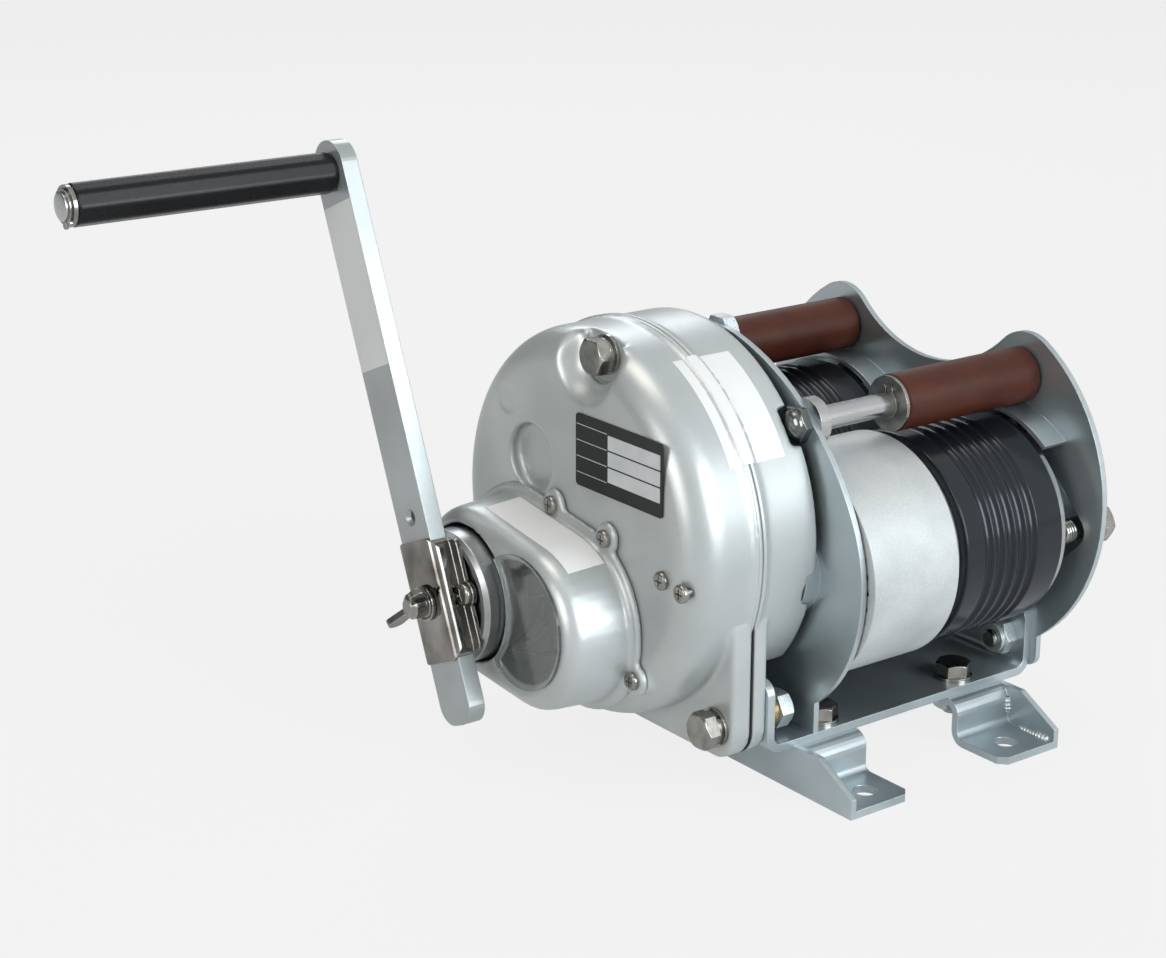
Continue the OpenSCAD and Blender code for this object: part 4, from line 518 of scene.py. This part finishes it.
# beads between a foot's bent plate and its gusset, one along the flat of the foot and one up its riser
welds = {"radius": 0.0019, "ripple": 0.28, "pitch": 0.0021, "step": 0.00035, "sides": 14,
         "swell": 0.07, "waves": 4, "waveTurn": 2.3, "draws": 9, "endPower": 6, "endLeast": 0.02,
         "plane": 0.0688, "plate": 0.004, "flat": (0.1215, 0.101), "flatSeed": 11,
         "riserAt": 0.092, "riser": (0.0085, 0.0185), "riserSeed": 12}


# A tube along a straight path, whose radius ripples as a rectified sine along the bead, swells and thins by
# a slower seeded drift, and closes at both ends as the root of one less distance to a high power.
def weldBead(name, path, s, seed):
    path = np.array(path)
    span = path[1] - path[0]
    length = np.linalg.norm(span)
    along = np.linspace(0, 1, int(length / s["step"]))[:, None]
    drift = np.random.default_rng(seed).normal(0, 1, s["draws"])
    swell = 1 + s["swell"] * sum(drift[k] * np.sin((k + 1) * s["waveTurn"] * along + drift[-k - 1])
                                 for k in range(s["waves"]))
    ripple = 1 - s["ripple"] / 2 + s["ripple"] * np.abs(np.sin(math.pi * along * length / s["pitch"]))
    ends = np.sqrt(np.clip(1 - np.abs(2 * along - 1) ** s["endPower"], s["endLeast"], 1))
    radius = s["radius"] * swell * ripple * ends
    across = np.array([1.0, 0.0, 0.0])
    up = np.cross(span / length, across)
    turn = np.linspace(0, 2 * math.pi, s["sides"], endpoint=False)[None, :]
    tube = ((path[0] + along * span)[:, None, :] + (radius * np.cos(turn))[..., None] * across
            + (radius * np.sin(turn))[..., None] * up)
    caps = np.repeat(path[:, None, :], s["sides"], 1)
    mesh = meshFromGrid(name, np.concatenate([caps[:1], tube, caps[1:]]))
    addSurface(name, mesh, True, "zincedWeld")


for sideX, foot in ((-1, "left"), (1, "right")):
    for sideY, end in ((-1, "Front"), (1, "Rear")):
        x = sideX * welds["plane"]
        weldBead(f"{foot}Foot{end}FlatWeld", [(x, sideY * y, welds["plate"]) for y in welds["flat"]], welds,
                 welds["flatSeed"])
        weldBead(f"{foot}Foot{end}RiserWeld", [(x, sideY * welds["riserAt"], z) for z in welds["riser"]], welds,
                 welds["riserSeed"])
print("stage: sleeves and welds are made")

crankAt = np.array(joints["crank_turn"]["pos_m"][1:])
barUp = -np.array(joints["arm_slide"]["axis"][1:])
barSide = np.array([barUp[1], -barUp[0]])


# Corner arcs of a rectangle between two y and two z, as one closed outline.
def roundedBox(y, z, radius, arcPoints):
    turn = np.radians(np.linspace(0, 90, arcPoints))
    centres = [(y[1] - radius, z[1] - radius), (y[0] + radius, z[1] - radius),
               (y[0] + radius, z[0] + radius), (y[1] - radius, z[0] + radius)]
    return np.concatenate([np.stack([c[0] + radius * np.cos(turn + k * math.pi / 2),
                                     c[1] + radius * np.sin(turn + k * math.pi / 2)], -1)
                           for k, c in enumerate(centres)])


# An outline in y and z as a film on a face: centre, rim, rim, centre as the grid's rows, on two planes of x.
def flatFilm(name, outline, face, film, finish, body="frame"):
    middle = outline.mean(0)[None, :] + 0 * outline
    front, back = face - film, face - stuckOn
    rows = [(front, middle), (front, outline), (back, outline), (back, middle)]
    grid = np.stack([np.concatenate([np.full((len(o), 1), at), o], 1) for at, o in rows])
    addSurface(name, meshFromGrid(name, grid), False, finish, body)


# blank label on the bar: a film a little greyer than the lacquer under it
barLabel = {"along": (0.119, 0.203), "margin": 0.0004, "film": 0.0001}
barPoints = np.array([v.co for v in nodes["crank_bar"].data.vertices])[:, 1:] - crankAt
half = np.abs(barPoints @ barSide).max() - barLabel["margin"]
low, high = barLabel["along"]
labelCorners = [(low, half), (high, half), (high, -half), (low, -half)]
outline = np.array([crankAt + up * barUp + across * barSide for up, across in labelCorners])
flatFilm("barLabel", outline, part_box("crank_bar")[0].x, barLabel["film"], "greyLabelFilm", "arm")

# name place: blank pale cells and thin rules on the black sheet
namePlace = {"cells": (-0.0612, -0.0208), "rules": (-0.0200, 0.0042), "rows": (0.1574, 0.1655, 0.1736, 0.1817),
             "margin": 0.0004, "cellRound": 0.0003, "cellArc": 6, "line": 0.00035, "lineRound": 0.0001,
             "lineArc": 2, "film": 0.00008}
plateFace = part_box("nameplate")[0].x
for k, (low, high) in enumerate(zip(namePlace["rows"][:-1], namePlace["rows"][1:])):
    cell = roundedBox(namePlace["cells"], (low + namePlace["margin"], high - namePlace["margin"]),
                      namePlace["cellRound"], namePlace["cellArc"])
    flatFilm(f"nameCell{k}", cell, plateFace, namePlace["film"], "etchedAluminium")
for k, z in enumerate(namePlace["rows"]):
    rule = roundedBox(namePlace["rules"], (z - namePlace["line"] / 2, z + namePlace["line"] / 2),
                      namePlace["lineRound"], namePlace["lineArc"])
    flatFilm(f"nameRule{k}", rule, plateFace, namePlace["film"], "etchedAluminium")

# blank label over the top of the brake cover, which is a belt round the crank axis and a lobe; flat is the
# angle of its straight part, and points are the grid's steps round the crank axis, across and round the lobe
coverLabel = {"x": (-0.1675, -0.1465), "lobe": (0.0, 0.084), "radii": (0.0500, 0.0484), "flat": 98.1,
              "angles": (93.0, 126.0), "inset": (0.0045, 0.0065), "depth": (-0.1402, -0.1692),
              "film": 0.00012, "columns": 6, "points": (6, 10, 16)}


# Top of the belt: round the crank axis, straight across, round the lobe, each at its radius
# less the inset that grows towards the cover's front.
def beltPoints(s, lift):
    x = np.linspace(*s["x"], s["columns"])
    nearCrank, straight, nearLobe = s["points"]
    inset = np.interp(-x, [-s["depth"][0], -s["depth"][1]], s["inset"])[None, :]
    angle = np.radians(np.concatenate([np.linspace(s["angles"][0], s["flat"], nearCrank),
                                       np.full(straight, s["flat"]),
                                       np.linspace(s["flat"], s["angles"][1], nearLobe)]))[:, None]
    blend = np.concatenate([np.zeros(nearCrank), np.linspace(0, 1, straight + 2)[1:-1],
                            np.ones(nearLobe)])[:, None]
    radius = s["radii"][0] * (1 - blend) + s["radii"][1] * blend - inset + lift
    y = crankAt[0] * (1 - blend) + s["lobe"][0] * blend + radius * np.cos(angle)
    z = crankAt[1] * (1 - blend) + s["lobe"][1] * blend + radius * np.sin(angle)
    return np.stack([x[None, :] + 0 * y, y, z], -1)


mesh = closedSheet("coverLabel", beltPoints(coverLabel, coverLabel["film"]), beltPoints(coverLabel, stuckOn))
addSurface("coverLabel", mesh, False, "whiteLabelFilm")
print("stage: labels are on")

# rolled threads on the shanks that show: M12 housing bolts inside the plate, M10 elsewhere; back is how far
# before the end of its shank or the plate a thread starts
threads = {"proud": 0.00035, "lift": 0.00002, "sides": 40, "stepsPerTurn": 8, "fadeTurns": 0.7}
housingThread = {"radius": 0.006, "pitch": 0.00175, "length": 0.0075, "back": 0.0079, "fromAxis": 0.045,
                 "angles": (0, 90, 180)}
rodThread = {"radius": 0.005, "pitch": 0.0015, "length": 0.0018, "back": 0.0019}
lugThread = {"radius": 0.005, "pitch": 0.0015, "length": 0.0026, "back": 0.0029, "at": (0.070, 0.0405)}


# A thread as a cylinder grid: radius follows a triangle wave of length less turn, and fades at both ends.
def threadPiece(name, s, end, at, finish):
    start = end - s["back"]
    turn = np.linspace(0, 2 * math.pi, threads["sides"], endpoint=False)[None, :]
    steps = int(s["length"] / s["pitch"] * threads["stepsPerTurn"]) + 1
    x = np.linspace(0, s["length"], steps)[:, None]
    wave = np.abs(((x / s["pitch"] - turn / (2 * math.pi)) % 1.0) * 2 - 1)
    fade = np.minimum(np.minimum(x, s["length"] - x) / (threads["fadeTurns"] * s["pitch"]), 1)
    radius = s["radius"] + threads["lift"] + threads["proud"] * wave * fade
    grid = np.stack([start + x + 0 * turn, at[0] + radius * np.cos(turn), at[1] + radius * np.sin(turn)], -1)
    caps = [np.array([[[place, *at]] * threads["sides"]]) for place in (start, start + s["length"])]
    addSurface(name, meshFromGrid(name, np.concatenate([caps[0], grid, caps[1]])), True, finish)


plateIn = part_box("channel_base")[1].x
for side in ("front", "rear"):
    drumY, drumZ = joints[f"drum_{side}_spin"]["pos_m"][1:]
    for k, angle in enumerate(housingThread["angles"]):
        at = (drumY + housingThread["fromAxis"] * math.cos(math.radians(angle)),
              drumZ + housingThread["fromAxis"] * math.sin(math.radians(angle)))
        threadPiece(f"{side}HousingThread{k}", housingThread, plateIn, at, "turnedStainless")
    threadPiece(f"{side}RodThread", rodThread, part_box(f"{side}_tie_rod")[1].x,
                joints[f"roller_{side}_spin"]["pos_m"][1:], "drawnSteel")
    lugAt = (math.copysign(lugThread["at"][0], drumY), lugThread["at"][1])
    threadPiece(f"{side}LugThread", lugThread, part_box("lug_bolts")[1].x, lugAt, "turnedStainless")
print("stage: threads are cut")
